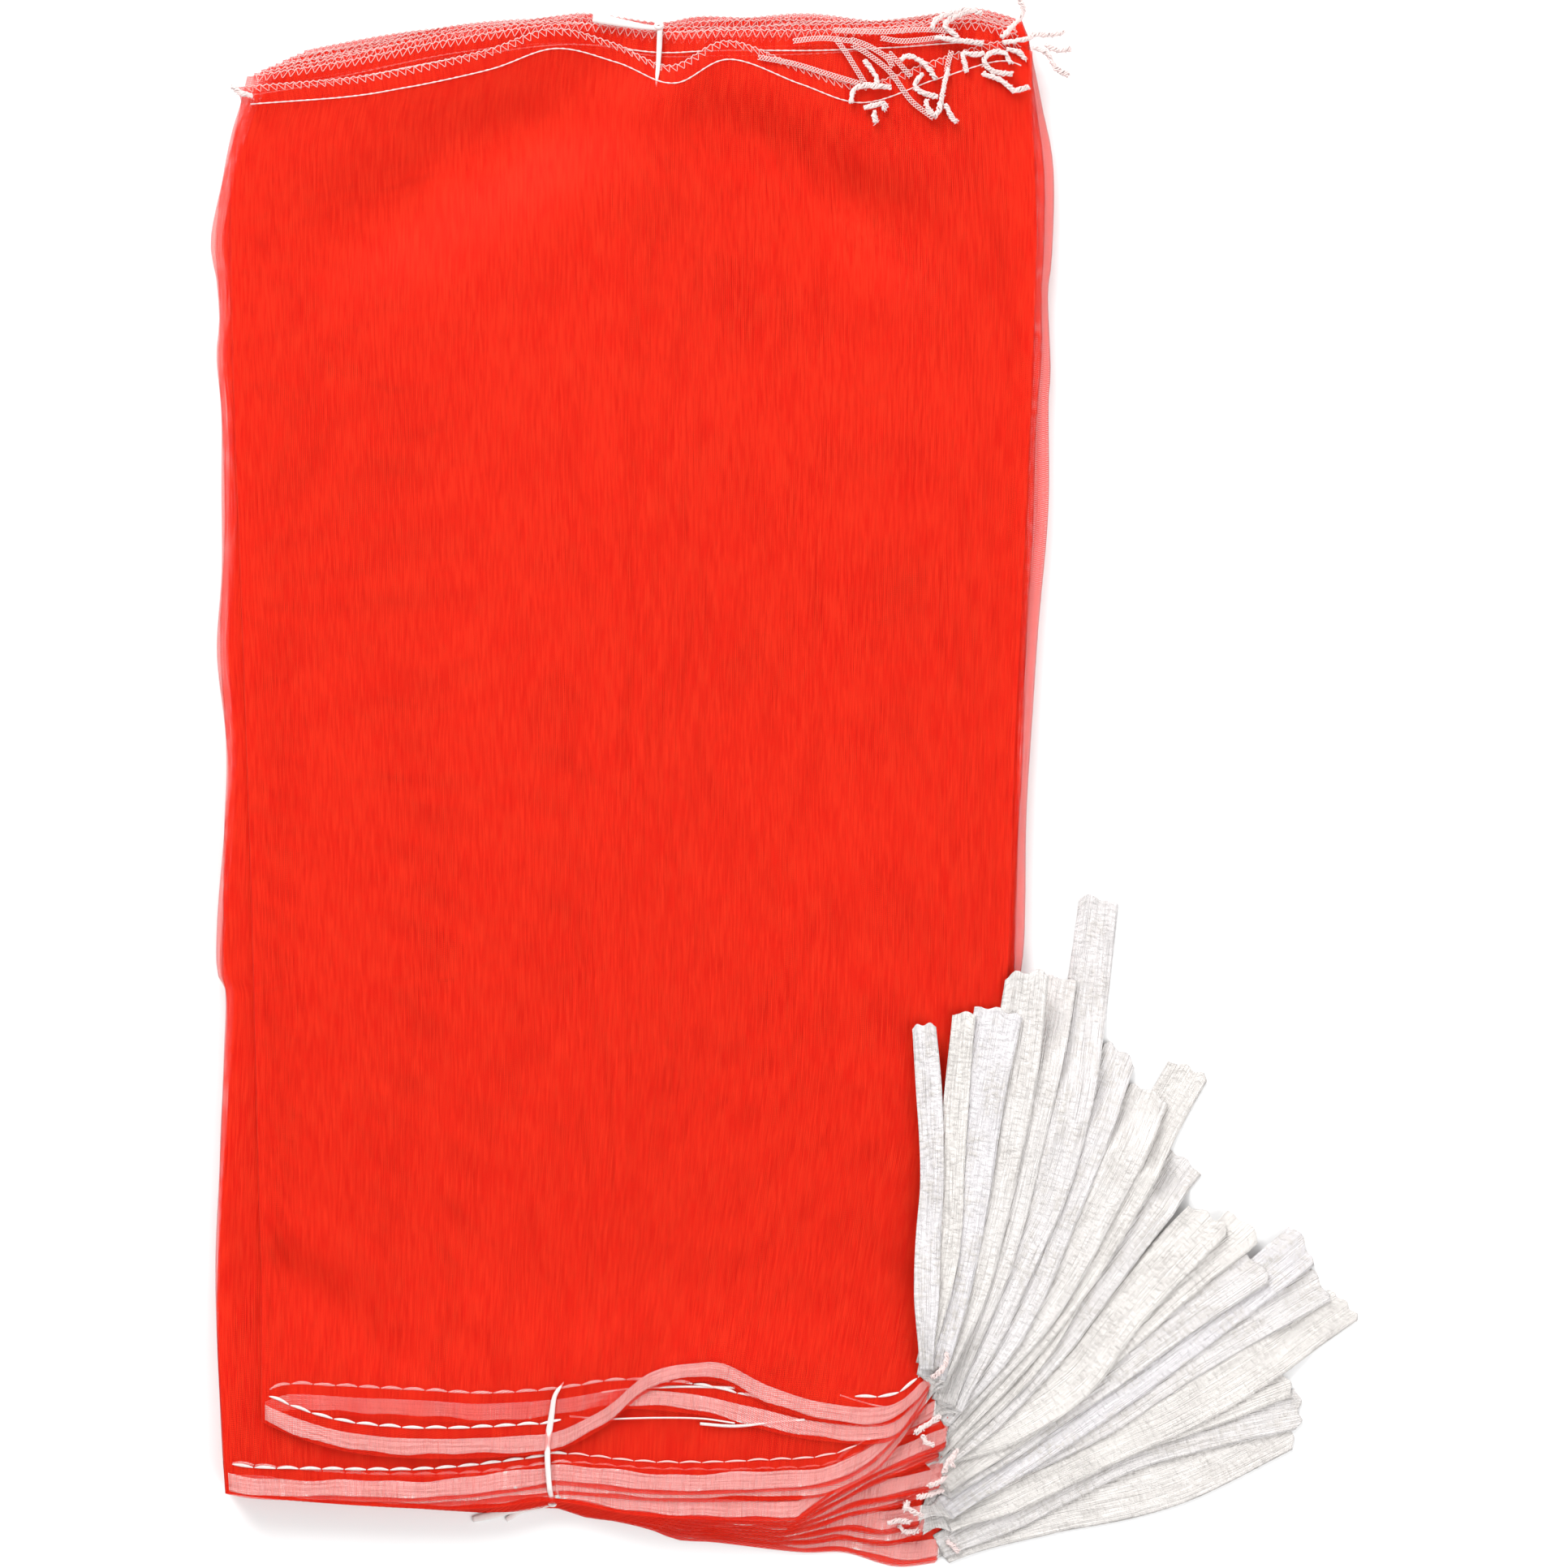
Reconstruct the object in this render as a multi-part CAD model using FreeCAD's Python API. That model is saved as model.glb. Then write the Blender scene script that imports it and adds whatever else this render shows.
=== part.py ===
import FreeCAD, Part
import math
import os

from FreeCAD import Vector

# A tied bundle of flat-folded mesh drawstring sacks, lying on its back.
# Millimetres. +X runs along the mouths towards the drawstring tails, +Y from the mouths to the
# closed ends and +Z up through the pile. The origin is on the resting face, midway along and across.
# Sack 1 is on top of the pile and sack 10 at the bottom.

# The pile
SACK_COUNT = 10
SACK_THICKNESS = 1.3
SACK_GAP = 0.3
PITCH = SACK_THICKNESS + SACK_GAP
BOTTOM_EXTRA = 0.9
PILE_TOP = BOTTOM_EXTRA + SACK_COUNT * PITCH - SACK_GAP

# One sack's outline, and how the sacks below spread out from the top one
CLOSED_LEFT = (-137.0, 238.0)
CLOSED_LEFT_SPREAD = (2.6, 1.9)
CLOSED_RIGHT = (138.0, 250.0)
CLOSED_RIGHT_SPREAD = (0.0, 0.9)
LEFT_BULGE = (-144.0, 195.0)
RIGHT_BULGE = (142.0, 185.0)
SHOULDER = (132.0, -66.0)
MOUTH_RIGHT = (104.5, -204.0)
MOUTH_RIGHT_SPREAD = (-0.3, -7.0)
MOUTH_LEFT = (-139.0, -242.0)
TOP_SACK_DRAWN_IN = (12.0, 16.0)
SIDE_DRIFT = 2.5
DRIFT_STEP = 2.2
CORNER_RADIUS = 4.0

# Hem and the drawstring tape folded inside it
HEM_EDGE = 1.5
TUNNEL_WIDTH = 8.0
TUNNEL_WALL = 0.2
TUNNEL_INSET = 4.0
HEM_TAPE_WIDTH = 7.4
TAPE_THICKNESS = 0.3
TAPE_CLEARANCE = 0.1
STITCH_LINE = 11.5
STITCH_WIDTH = 0.8
STITCH_DEPTH = 0.12
STITCH_INSET = 3.0

# Overlocked edge that closes each sack
SEAM_WIDTH = 6.5
SEAM_THICKNESS = 0.9
SEAM_INSET = 3.0

# Drawstring tails
TAPE_WIDTH = 14.5
FOLDED_TAPE_WIDTH = 8.0
NECK = 10.5
RISER_NECK = 6.0
NECK_END = 2.0
RISER_SIZE = (4.0, 3.6)
RISER_SACKS = 2
TAIL_LEVEL_STEP = 0.5
TAIL_REST_GAP = 0.3
ARC_SHARE = 0.45

# The two ties
TIE_WIDTH = 2.0
TIE_THICKNESS = 0.4
TIE_CLEARANCE = 0.2
TIE_END_LAP = 0.3
TIE_SLOT_MARGIN = 0.3
TIE_CORNER_DROP = 1.6
TIE_TOP_X = 9.5
TIE_TOP_PIERCE_Y = 240.5
TIE_BOTTOM_X = -25.0
TIE_BOTTOM_PIERCE_Y = -203.0
TIE_TOP_TAIL = (23.0, 3.4)
TIE_BOTTOM_TAILS = ((22.0, 200.0), (17.0, 212.0))

# Where each tail runs after it leaves its hem: the front ply's tail, then the back ply's
TAIL_ROUTES = (
    (((102.5, -163), (104.0, -124), (101, -81)), ((110, -160), (110, -120), (115, -77))),
    (((115, -166), (118.5, -122), (127, -76)), ((119, -168), (131, -120), (137, -63))),
    (((122, -172), (135.5, -123), (147.5, -65.5)), ((129, -176), (149, -120), (162.5, -38))),
    (((131.5, -183), (150, -134), (170, -91)), ((137, -189), (163, -144), (180, -105))),
    (((143, -186), (169, -134), (194, -97)), ((134, -201), (159.5, -162), (176, -134))),
    (((140, -203), (169.5, -164), (192.5, -129)), ((147, -208), (175, -178), (201, -148))),
    (((145, -214), (176, -181), (213.5, -151)), ((144, -218), (185, -187), (217, -164.5))),
    (((146, -220), (188, -192), (234, -158)), ((148, -229), (190, -200), (239.5, -171.5))),
    (((152, -229), (200, -207), (248.5, -179)), ((146, -232), (186, -215), (227, -204))),
    (
        ((144, -243), (186, -226), (232.5, -215.5)),
        ((138, -254), (174, -246), (202, -235), (227.5, -222)),
    ),
)


def level(index):
    """Underside of a sack's fabric in the pile."""
    return BOTTOM_EXTRA + (SACK_COUNT - index) * PITCH


def unit(vector):
    return vector / vector.Length


def spread(start, step, index):
    """Corner that moves by one step for each sack down the pile."""
    below = index - 1
    return Vector(start[0] + step[0] * below, start[1] + step[1] * below, 0)


def drift(index):
    """Small sideways shift of a sack in the pile."""
    return SIDE_DRIFT * math.sin(DRIFT_STEP * index)


def mouth_left(index):
    """Left end of a sack's mouth edge. The top sack is drawn in and up."""
    if index == 1:
        return Vector(MOUTH_LEFT[0] + TOP_SACK_DRAWN_IN[0], MOUTH_LEFT[1] + TOP_SACK_DRAWN_IN[1], 0)
    return Vector(MOUTH_LEFT[0] + drift(index), MOUTH_LEFT[1], 0)


def mouth_right(index):
    return spread(MOUTH_RIGHT, MOUTH_RIGHT_SPREAD, index)


def closed_left(index):
    return spread(CLOSED_LEFT, CLOSED_LEFT_SPREAD, index)


def closed_right(index):
    return spread(CLOSED_RIGHT, CLOSED_RIGHT_SPREAD, index)


def sack_corners(index):
    """Outline of one flat sack, anticlockwise from the left end of its mouth."""
    shift = Vector(drift(index), 0, 0)
    return [
        mouth_left(index),
        mouth_right(index),
        Vector(*SHOULDER, 0) + shift,
        Vector(*RIGHT_BULGE, 0) + shift,
        closed_right(index),
        closed_left(index),
        Vector(*LEFT_BULGE, 0) + shift,
    ]


def corner_arc(before, corner, after, radius):
    """Arc of the given radius that is tangent to both runs at a corner."""
    to_before = unit(before - corner)
    to_after = unit(after - corner)
    half = to_before.getAngle(to_after) / 2
    reach = radius / math.tan(half)
    start = corner + to_before * reach
    end = corner + to_after * reach
    bisector = unit(to_before + to_after)
    middle = corner + bisector * (radius / math.sin(half) - radius)
    return Part.Arc(start, middle, end).toShape(), start, end


def rounded_face(corners, radius):
    """Flat face with the same small radius at each corner."""
    count = len(corners)
    arcs = [
        corner_arc(corners[n - 1], corners[n], corners[(n + 1) % count], radius)
        for n in range(count)
    ]
    edges = []
    for n in range(count):
        edges.append(arcs[n][0])
        edges.append(Part.LineSegment(arcs[n][2], arcs[(n + 1) % count][1]).toShape())
    return Part.Face(Part.Wire(edges))


def bar(start, direction, length, offset, width, bottom, height):
    """Box along a direction in plan. Its near side is offset to the left of the line."""
    across = Vector(-direction.y, direction.x, 0)
    corner = start + across * offset
    points = [
        corner,
        corner + direction * length,
        corner + direction * length + across * width,
        corner + across * width,
        corner,
    ]
    face = Part.Face(Part.makePolygon(points))
    face.translate(Vector(0, 0, bottom))
    return face.extrude(Vector(0, 0, height))


def hem_direction(index):
    return unit(mouth_right(index) - mouth_left(index))


def hem_length(index):
    return (mouth_right(index) - mouth_left(index)).Length


def run_levels(index):
    """Undersides of the front and the back run of tape in the hem."""
    tunnel = level(index) + TUNNEL_WALL
    back = tunnel + TAPE_CLEARANCE
    front = back + TAPE_THICKNESS + TAPE_CLEARANCE
    return front, back


def tunnel_height():
    return SACK_THICKNESS - 2 * TUNNEL_WALL


def tape_offset():
    """Near side of the hem tape, inward from the mouth edge."""
    return HEM_EDGE + (TUNNEL_WIDTH - HEM_TAPE_WIDTH) / 2


def neck(index):
    return RISER_NECK if index <= RISER_SACKS else NECK


def tail_start(index):
    """Point in plan where a sack's two tails turn out of the hem."""
    direction = hem_direction(index)
    across = Vector(-direction.y, direction.x, 0)
    centre = across * (HEM_EDGE + TUNNEL_WIDTH / 2)
    return mouth_right(index) + direction * neck(index) + centre


def tie_slot(x, y):
    """Hole through the whole pile for a tie."""
    length = TIE_WIDTH + 2 * TIE_SLOT_MARGIN
    width = TIE_THICKNESS + 2 * TIE_SLOT_MARGIN
    corner = Vector(x - length / 2, y - width / 2, -1)
    return Part.makeBox(length, width, PILE_TOP + 2, corner)


def tie_groove(x, y_start, y_end):
    """Groove in the resting face that takes the lower run of a tie."""
    width = TIE_WIDTH + 2 * TIE_SLOT_MARGIN
    depth = TIE_THICKNESS + 2 * TIE_CLEARANCE
    low, high = sorted((y_start, y_end))
    return Part.makeBox(width, high - low, depth + 1, Vector(x - width / 2, low, -1))


def make_sack(index):
    """Flat folded sack with the hem tunnel at its mouth and holes for the ties."""
    bottom = 0 if index == SACK_COUNT else level(index)
    face = rounded_face(sack_corners(index), CORNER_RADIUS)
    face.translate(Vector(0, 0, bottom))
    fabric = face.extrude(Vector(0, 0, level(index) + SACK_THICKNESS - bottom))
    direction = hem_direction(index)
    start = mouth_left(index) + direction * TUNNEL_INSET
    tunnel = bar(
        start,
        direction,
        hem_length(index) + 2 * NECK,
        HEM_EDGE,
        TUNNEL_WIDTH,
        level(index) + TUNNEL_WALL,
        tunnel_height(),
    )
    fabric = fabric.cut(tunnel)
    fabric = fabric.cut(tie_slot(TIE_TOP_X, TIE_TOP_PIERCE_Y))
    fabric = fabric.cut(tie_slot(TIE_BOTTOM_X, TIE_BOTTOM_PIERCE_Y))
    if index == SACK_COUNT:
        fabric = fabric.cut(tie_groove(TIE_TOP_X, TIE_TOP_PIERCE_Y, CLOSED_RIGHT[1] * 2))
        fabric = fabric.cut(tie_groove(TIE_BOTTOM_X, TIE_BOTTOM_PIERCE_Y, MOUTH_LEFT[1] * 2))
        fabric = fabric.cut(stitch_bar(index, 0, BOTTOM_EXTRA))
    return fabric


def make_drawstring(index):
    """Tape through the hem: a front and a back run that turn into each other at the left."""
    direction = hem_direction(index)
    inset = TUNNEL_INSET + TAPE_CLEARANCE
    start = mouth_left(index) + direction * inset
    length = hem_length(index) - inset + neck(index) - NECK_END
    front, back = run_levels(index)
    offset = tape_offset()
    runs = [
        bar(start, direction, length, offset, HEM_TAPE_WIDTH, height, TAPE_THICKNESS)
        for height in (front, back)
    ]
    turn_height = front + TAPE_THICKNESS - back
    turn = bar(start, direction, TAPE_THICKNESS, offset, HEM_TAPE_WIDTH, back, turn_height)
    return runs[0].fuse([runs[1], turn]).removeSplitter()


def tape_wire(points, name):
    """Straight runs joined by tangent arcs, each as large as its two runs allow."""
    edges = []
    last = points[0]
    for before, corner, after in zip(points, points[1:], points[2:]):
        turn = math.pi - (before - corner).getAngle(after - corner)
        shorter = min((before - corner).Length, (after - corner).Length)
        radius = ARC_SHARE * shorter / math.tan(turn / 2)
        arc, start, end = corner_arc(before, corner, after, radius)
        edges.append(Part.LineSegment(last, start).toShape())
        edges.append(arc)
        last = end
        print(f"{name}: turn {math.degrees(turn):.1f} degrees, radius {radius:.0f} mm")
    edges.append(Part.LineSegment(last, points[-1]).toShape())
    return Part.Wire(edges)


def tape_strap(route, width, bottom, name):
    """Flat tape of one width and thickness along a route in plan."""
    height = bottom + TAPE_THICKNESS / 2
    points = [Vector(point.x, point.y, height) for point in route]
    wire = tape_wire(points, name)
    along = unit(points[1] - points[0])
    across = Vector(-along.y, along.x, 0) * (width / 2)
    up = Vector(0, 0, TAPE_THICKNESS / 2)
    start = points[0]
    section = Part.makePolygon(
        [
            start - across - up,
            start + across - up,
            start + across + up,
            start - across + up,
            start - across - up,
        ]
    )
    strap = wire.makePipeShell([section], True, True)
    swept = wire.Length * width * TAPE_THICKNESS
    print(f"{name}: length {wire.Length:.0f} mm, volume share {strap.Volume / swept:.3f}")
    return strap


def tail_levels(index):
    """Undersides of the two tails. The upper sacks' tails lie on top of the pile."""
    if index > RISER_SACKS:
        return run_levels(index)
    lowest = PILE_TOP + TAIL_REST_GAP + (index - 1) * 2 * TAIL_LEVEL_STEP
    return lowest + TAIL_LEVEL_STEP, lowest


def make_tails(index):
    """Both free tails of a drawstring, from the hem's end to the cut tips."""
    width = FOLDED_TAPE_WIDTH if index == 1 else TAPE_WIDTH
    start = tail_start(index)
    direction = hem_direction(index)
    pieces = []
    for route, bottom, side in zip(TAIL_ROUTES[index - 1], tail_levels(index), ("front", "back")):
        points = [start] + [Vector(x, y, 0) for x, y in route]
        strap = tape_strap(points, width, bottom, f"tail {index} {side}")
        centre = Vector(start.x, start.y, bottom)
        fold = Part.makeCylinder(width / 2, TAPE_THICKNESS, centre)
        pieces.append(strap.fuse(fold).removeSplitter())
    neck_start = start - direction * (2 * NECK)
    neck_length = 2 * NECK - NECK_END
    front, back = run_levels(index)
    if index <= RISER_SACKS:
        top = tail_levels(index)[0] + TAPE_THICKNESS
        corner = start - direction * NECK_END
        riser_offset = -RISER_SIZE[1] / 2
        riser = bar(corner, direction, RISER_SIZE[0], riser_offset, RISER_SIZE[1], back, top - back)
        return riser.fuse(pieces).removeSplitter()
    trimmed = []
    for piece, height in zip(pieces, (front, back)):
        reach = bar(
            neck_start,
            direction,
            neck_length,
            -HEM_TAPE_WIDTH / 2,
            HEM_TAPE_WIDTH,
            height,
            TAPE_THICKNESS,
        )
        trimmed.append(piece.cut(reach))
    return Part.makeCompound(trimmed)


def stitch_bar(index, bottom, height):
    """Line of hem stitching, parallel to the mouth edge."""
    direction = hem_direction(index)
    start = mouth_left(index) + direction * STITCH_INSET
    length = hem_length(index) - 2 * STITCH_INSET
    return bar(start, direction, length, STITCH_LINE, STITCH_WIDTH, bottom, height)


def make_hem_thread(index):
    """Chain stitching of the hem, one line on each ply."""
    bottom = level(index)
    front = stitch_bar(index, bottom + SACK_THICKNESS, STITCH_DEPTH)
    back = stitch_bar(index, bottom - STITCH_DEPTH, STITCH_DEPTH)
    return Part.makeCompound([front, back])


def make_seam_thread(index):
    """Overlocked edge band along the closed end."""
    left = closed_left(index)
    right = closed_right(index)
    direction = unit(right - left)
    length = (right - left).Length - 2 * SEAM_INSET
    bottom = level(index) + (SACK_THICKNESS - SEAM_THICKNESS) / 2
    start = left + direction * SEAM_INSET
    return bar(start, direction, length, 0, SEAM_WIDTH, bottom, SEAM_THICKNESS)


def edge_at(start, end, x):
    """Height in Y of a straight edge at a given X."""
    share = (x - start.x) / (end.x - start.x)
    return start.y + (end.y - start.y) * share


def tie_ring(x, pierce_y, near_edges, far_edge):
    """Closed strip through the pile and round its stepped edge."""
    out = 1 if far_edge > pierce_y else -1
    gap = TIE_CLEARANCE + TIE_THICKNESS
    top = PILE_TOP + gap
    first, second = near_edges
    profile = [
        (pierce_y, TIE_CLEARANCE),
        (far_edge + out * gap, TIE_CLEARANCE),
        (far_edge + out * gap, BOTTOM_EXTRA + PITCH),
        (second + out * (gap + TIE_CORNER_DROP), PILE_TOP - PITCH + gap),
        (first + out * gap, top),
        (pierce_y, top),
    ]
    start = x - TIE_WIDTH / 2
    points = [Vector(start, y, z) for y, z in profile]
    outer = Part.Face(Part.makePolygon(points + points[:1]))
    inner = outer.makeOffset2D(-TIE_THICKNESS, 2)
    centre = Vector(TIE_WIDTH, 0, 0)
    return outer.extrude(centre).cut(inner.extrude(centre))


def make_tie_top():
    """Tie through the closed ends, with its flattened end lying on the pile."""
    x = TIE_TOP_X
    edges = [edge_at(closed_left(n), closed_right(n), x) + SEAM_WIDTH for n in (1, 2, SACK_COUNT)]
    ring = tie_ring(x, TIE_TOP_PIERCE_Y - TIE_THICKNESS / 2, edges[:2], edges[2])
    length, width = TIE_TOP_TAIL
    corner = Vector(x - TIE_WIDTH / 2 - length, edges[0] - width, PILE_TOP + TIE_CLEARANCE)
    return ring.fuse(Part.makeBox(length, width, TIE_THICKNESS, corner))


def make_tie_bottom():
    """Tie through the sacks above their hems, with two cut ends under the mouths."""
    x = TIE_BOTTOM_X
    edges = [edge_at(mouth_left(n), mouth_right(n), x) for n in (1, 2, SACK_COUNT)]
    ring = tie_ring(x, TIE_BOTTOM_PIERCE_Y + TIE_THICKNESS / 2, edges[:2], edges[2])
    beyond = TIE_CLEARANCE + TIE_THICKNESS + TIE_WIDTH / 2 - TIE_END_LAP
    root = Vector(x, edges[2] - beyond, 0)
    ends = []
    for length, heading in TIE_BOTTOM_TAILS:
        angle = math.radians(heading)
        direction = Vector(math.cos(angle), math.sin(angle), 0)
        half = -TIE_WIDTH / 2
        ends.append(bar(root, direction, length, half, TIE_WIDTH, TIE_CLEARANCE, TIE_THICKNESS))
    return ring.fuse(ends).removeSplitter()


def export(shape, name):
    solids = shape.Solids
    if not solids or not all(solid.isValid() for solid in solids):
        raise ValueError(f"{name} is not a valid solid")
    shape.exportStep(f"parts/{name}.step")


def main():
    os.makedirs("parts", exist_ok=True)
    for index in range(1, SACK_COUNT + 1):
        export(make_sack(index), f"sack_{index:02d}")
        export(make_drawstring(index), f"drawstring_{index:02d}")
        export(make_tails(index), f"drawstring_tails_{index:02d}")
        export(make_hem_thread(index), f"hem_thread_{index:02d}")
        export(make_seam_thread(index), f"seam_thread_{index:02d}")
    export(make_tie_top(), "tie_top")
    export(make_tie_bottom(), "tie_bottom")


main()
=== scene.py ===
import math

import bpy
import numpy as np
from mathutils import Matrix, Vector


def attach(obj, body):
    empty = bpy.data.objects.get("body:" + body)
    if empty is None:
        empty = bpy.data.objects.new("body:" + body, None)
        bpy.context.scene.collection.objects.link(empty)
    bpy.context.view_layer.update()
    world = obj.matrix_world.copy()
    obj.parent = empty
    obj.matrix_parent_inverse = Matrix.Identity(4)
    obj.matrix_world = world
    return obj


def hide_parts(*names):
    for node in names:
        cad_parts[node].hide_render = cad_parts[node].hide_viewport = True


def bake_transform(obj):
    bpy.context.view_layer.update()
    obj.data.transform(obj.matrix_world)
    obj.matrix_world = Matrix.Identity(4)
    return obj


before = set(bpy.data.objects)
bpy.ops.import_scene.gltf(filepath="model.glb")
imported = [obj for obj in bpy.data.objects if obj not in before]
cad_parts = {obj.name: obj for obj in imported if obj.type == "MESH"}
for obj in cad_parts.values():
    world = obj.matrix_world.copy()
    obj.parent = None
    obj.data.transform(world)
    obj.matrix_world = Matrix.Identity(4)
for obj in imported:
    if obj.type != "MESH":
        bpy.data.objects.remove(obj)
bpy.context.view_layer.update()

# A tied bundle of flat-folded red mesh drawstring sacks. Lengths in the tables below are in
# millimetres unless a name says otherwise, and MM turns them into metres where a mesh is made.
# +X runs along the mouths to the drawstring tails, +Y to the closed ends, +Z up through the pile.
MM = 0.001

# Camera
FRAME_WIDTH = 0.541
LENS = 85.0
SENSOR = 36.0
VIEW_CENTRE = (0.0529, 0.0017)
PILE_HEIGHT = 0.017


def make_camera():
    data = bpy.data.cameras.new("camera")
    data.lens = LENS
    data.sensor_width = SENSOR
    data.dof.use_dof = False
    data.clip_start = 0.01
    camera = bpy.data.objects.new("camera", data)
    bpy.context.scene.collection.objects.link(camera)
    height = FRAME_WIDTH * LENS / SENSOR + PILE_HEIGHT * 0.7
    camera.location = (VIEW_CENTRE[0], VIEW_CENTRE[1], height)
    bpy.context.scene.camera = camera


make_camera()

# The pile
SACK_COUNT = 10
PLIES = 2 * SACK_COUNT
FIELD_THICKNESS = 11.5
HEM_RISE = 5.2
SEAM_RISE = 2.2
SACK_WIDTH = 280.0
SACK_LENGTH = 490.0

# Outlines of the top sack, the second one and the lowest one. Those between are blends.
CLOSED_TOP = (
    (-136.4, 241.9), (-100, 244.7), (-77.6, 248.4), (-49.6, 254.8), (-27.2, 262.2),
    (-5.9, 257.6), (13.7, 250), (33.3, 257.9), (58, 249.2), (79.8, 243), (104.4, 251),
    (126.8, 257.5), (138.6, 254.2),
)
CLOSED_SECOND = (
    (-132.2, 245.6), (-97, 252), (-60.8, 259.2), (-21.6, 263.5), (9.8, 260.5), (34.4, 260.5),
    (62.4, 261.0), (90.4, 262.8), (118.4, 264.5), (137.5, 258.7),
)
CLOSED_LAST = (
    (-112.6, 254.8), (-91.6, 258.2), (-60.8, 262.9), (-21.6, 266.6), (-11.8, 267.1), (9.8, 263.2),
    (23.2, 265.4), (42.8, 266), (62.4, 267.1), (84.8, 265.2), (107.2, 267.1), (118.4, 268.8),
    (135.2, 265.2),
)
LEFT_TOP = (
    (-136.4, 241.9), (-134.4, 236.3), (-138, 219), (-138.3, 188), (-137.2, 132), (-134.1, 48),
    (-131.3, -36), (-129.1, -120), (-127.7, -176), (-126.8, -217.8),
)
LEFT_PILE = (
    (-132.2, 245.6), (-134.0, 240), (-137.5, 222), (-139.6, 188), (-139.7, 146), (-139.2, 76),
    (-138.4, 20), (-138.2, -14.8), (-140.0, -60), (-140.4, -92), (-142.6, -170.2), (-140.6, -219.2),
    (-139.4, -242.5),
)
LEFT_LOBES = (
    (-132.2, 245.6), (-133.8, 236.9), (-139.7, 222.9), (-147.6, 190.7), (-145.6, 174.4),
    (-144.8, 160.7), (-145.9, 147.8), (-143.6, 128.5), (-142.8, 105.8), (-142.8, 76.2),
    (-144.5, 48.2), (-142, 24.6), (-140.8, 6.4), (-142.5, -14.8), (-144.2, -59.9),
    (-140.6, -70.6), (-140.6, -91.8), (-143.4, -170.2), (-141.1, -219.2), (-139.4, -242.5),
)
RIGHT_TOP = (
    (138.6, 254.2), (138.6, 237.7), (139.4, 220.6), (140.3, 188), (138.6, 139), (135.8, 76),
    (132.4, 6), (130.5, -58), (127, -98), (117.5, -146), (108.5, -185), (104.5, -204),
)
RIGHT_LOBES = (
    (135.2, 265.2), (140.3, 237.7), (143.9, 220.6), (144.8, 204.4), (143.6, 179.8), (142.2, 166.9),
    (143.1, 139.2), (142.2, 126.3), (140.6, 76.2), (135.8, 6.2), (133, -58.2), (130, -92),
    (119.5, -142), (109, -185), (102, -267),
)
# Fold edge of each mouth, front ply and back ply, from the left side fold to the tape's exit
MOUTH_TOP_FRONT = (
    (-126.8, -217.8), (-115.6, -222.6), (-105, -226.2), (-90.7, -229), (-69.2, -230.4),
    (-40.6, -229.9), (-25.8, -228.5), (-9.5, -220.1), (5.9, -207.5), (21.3, -204.1),
    (31.9, -204.4), (48.4, -212.5), (67.8, -218.1), (87.1, -219), (97.4, -212.5), (104.5, -204),
)
MOUTH_TOP_BACK = (
    (-126.8, -217.8), (-116.8, -215), (-100, -215.6), (-72, -217.3), (-49.6, -218.4),
    (-27.2, -217.3), (-4.8, -213.6), (20.4, -215), (40, -219.2), (62.4, -224), (87.1, -225.1),
    (97, -217), (104.5, -204),
)
MOUTH_SECOND_FRONT = (
    (-139.4, -242.5), (-126.6, -244.4), (-98, -245), (-76.4, -245.3), (-55.2, -243.9),
    (-30, -241.1), (-25.8, -240.2), (9.8, -242.8), (38.6, -242.2), (66.6, -240.2), (82, -233.2),
    (93.2, -222.9), (104.2, -211),
)
MOUTH_SECOND_BACK = (
    (-139.4, -242.5), (-98, -246.4), (-69.2, -247), (-49.6, -246.4), (-30, -244.2), (-21.6, -243.6),
    (9.8, -245.3), (38.6, -245.3), (66.6, -243.6), (83.4, -235.8), (93.8, -225.4), (104.2, -211),
)
MOUTH_THIRD = (
    (-139.4, -242.5), (-119.6, -244.7), (-77.6, -247.5), (-49.6, -247.8), (-27.2, -245.8),
    (0.3, -250), (29.1, -251.7), (54, -252), (59.5, -250.4), (75, -238), (89, -226.2),
    (103.9, -218),
)
MOUTH_LAST = (
    (-139.7, -242.5), (-97.2, -246.4), (-60.8, -249.2), (-41.2, -250), (-27.2, -248.1),
    (-16, -251.4), (-5.6, -252.8), (6.4, -255.6), (16.5, -259.3), (29.1, -260.1), (58, -263.5),
    (72.5, -263.5), (84, -267.4), (90.7, -268.5), (101.8, -267),
)
BACK_HEM_STEP = 0.16
# Each sack lies a little wider than the one above it
LAYER_SPREAD = 0.00095
# How far each mouth's right end stands off the line through them
EXIT_SHIFT = (0.0, -2.5, 0.5, 5.0, 3.0, 4.0, 0.0, -3.0, -1.5, 4.0)
EXIT_DROP = (0.0, -1.5, 1.0, -1.5, 1.8, -1.2, 2.0, -1.5, 1.2, 0.0)
# How far each sack's side folds stand out from the pile towards the lobed outline
LEFT_OUT = (0.0, 0.45, 0.94, 0.74, 0.88, 0.93, 0.62, 0.90, 0.82, 0.55)
RIGHT_OUT = (0.0, 0.06, 0.50, 0.04, 1.0, 0.08, 0.20, 0.12, 0.06, 0.10)


def arc_length(line):
    """Distance travelled along a line, at each of its points."""
    return np.concatenate([[0], np.cumsum(np.linalg.norm(np.diff(line, axis=0), axis=1))])


def read_line(line, length, wanted):
    """Positions on a line at wanted distances along it."""
    return np.stack([np.interp(wanted, length, line[:, k]) for k in range(line.shape[1])], axis=-1)


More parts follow.
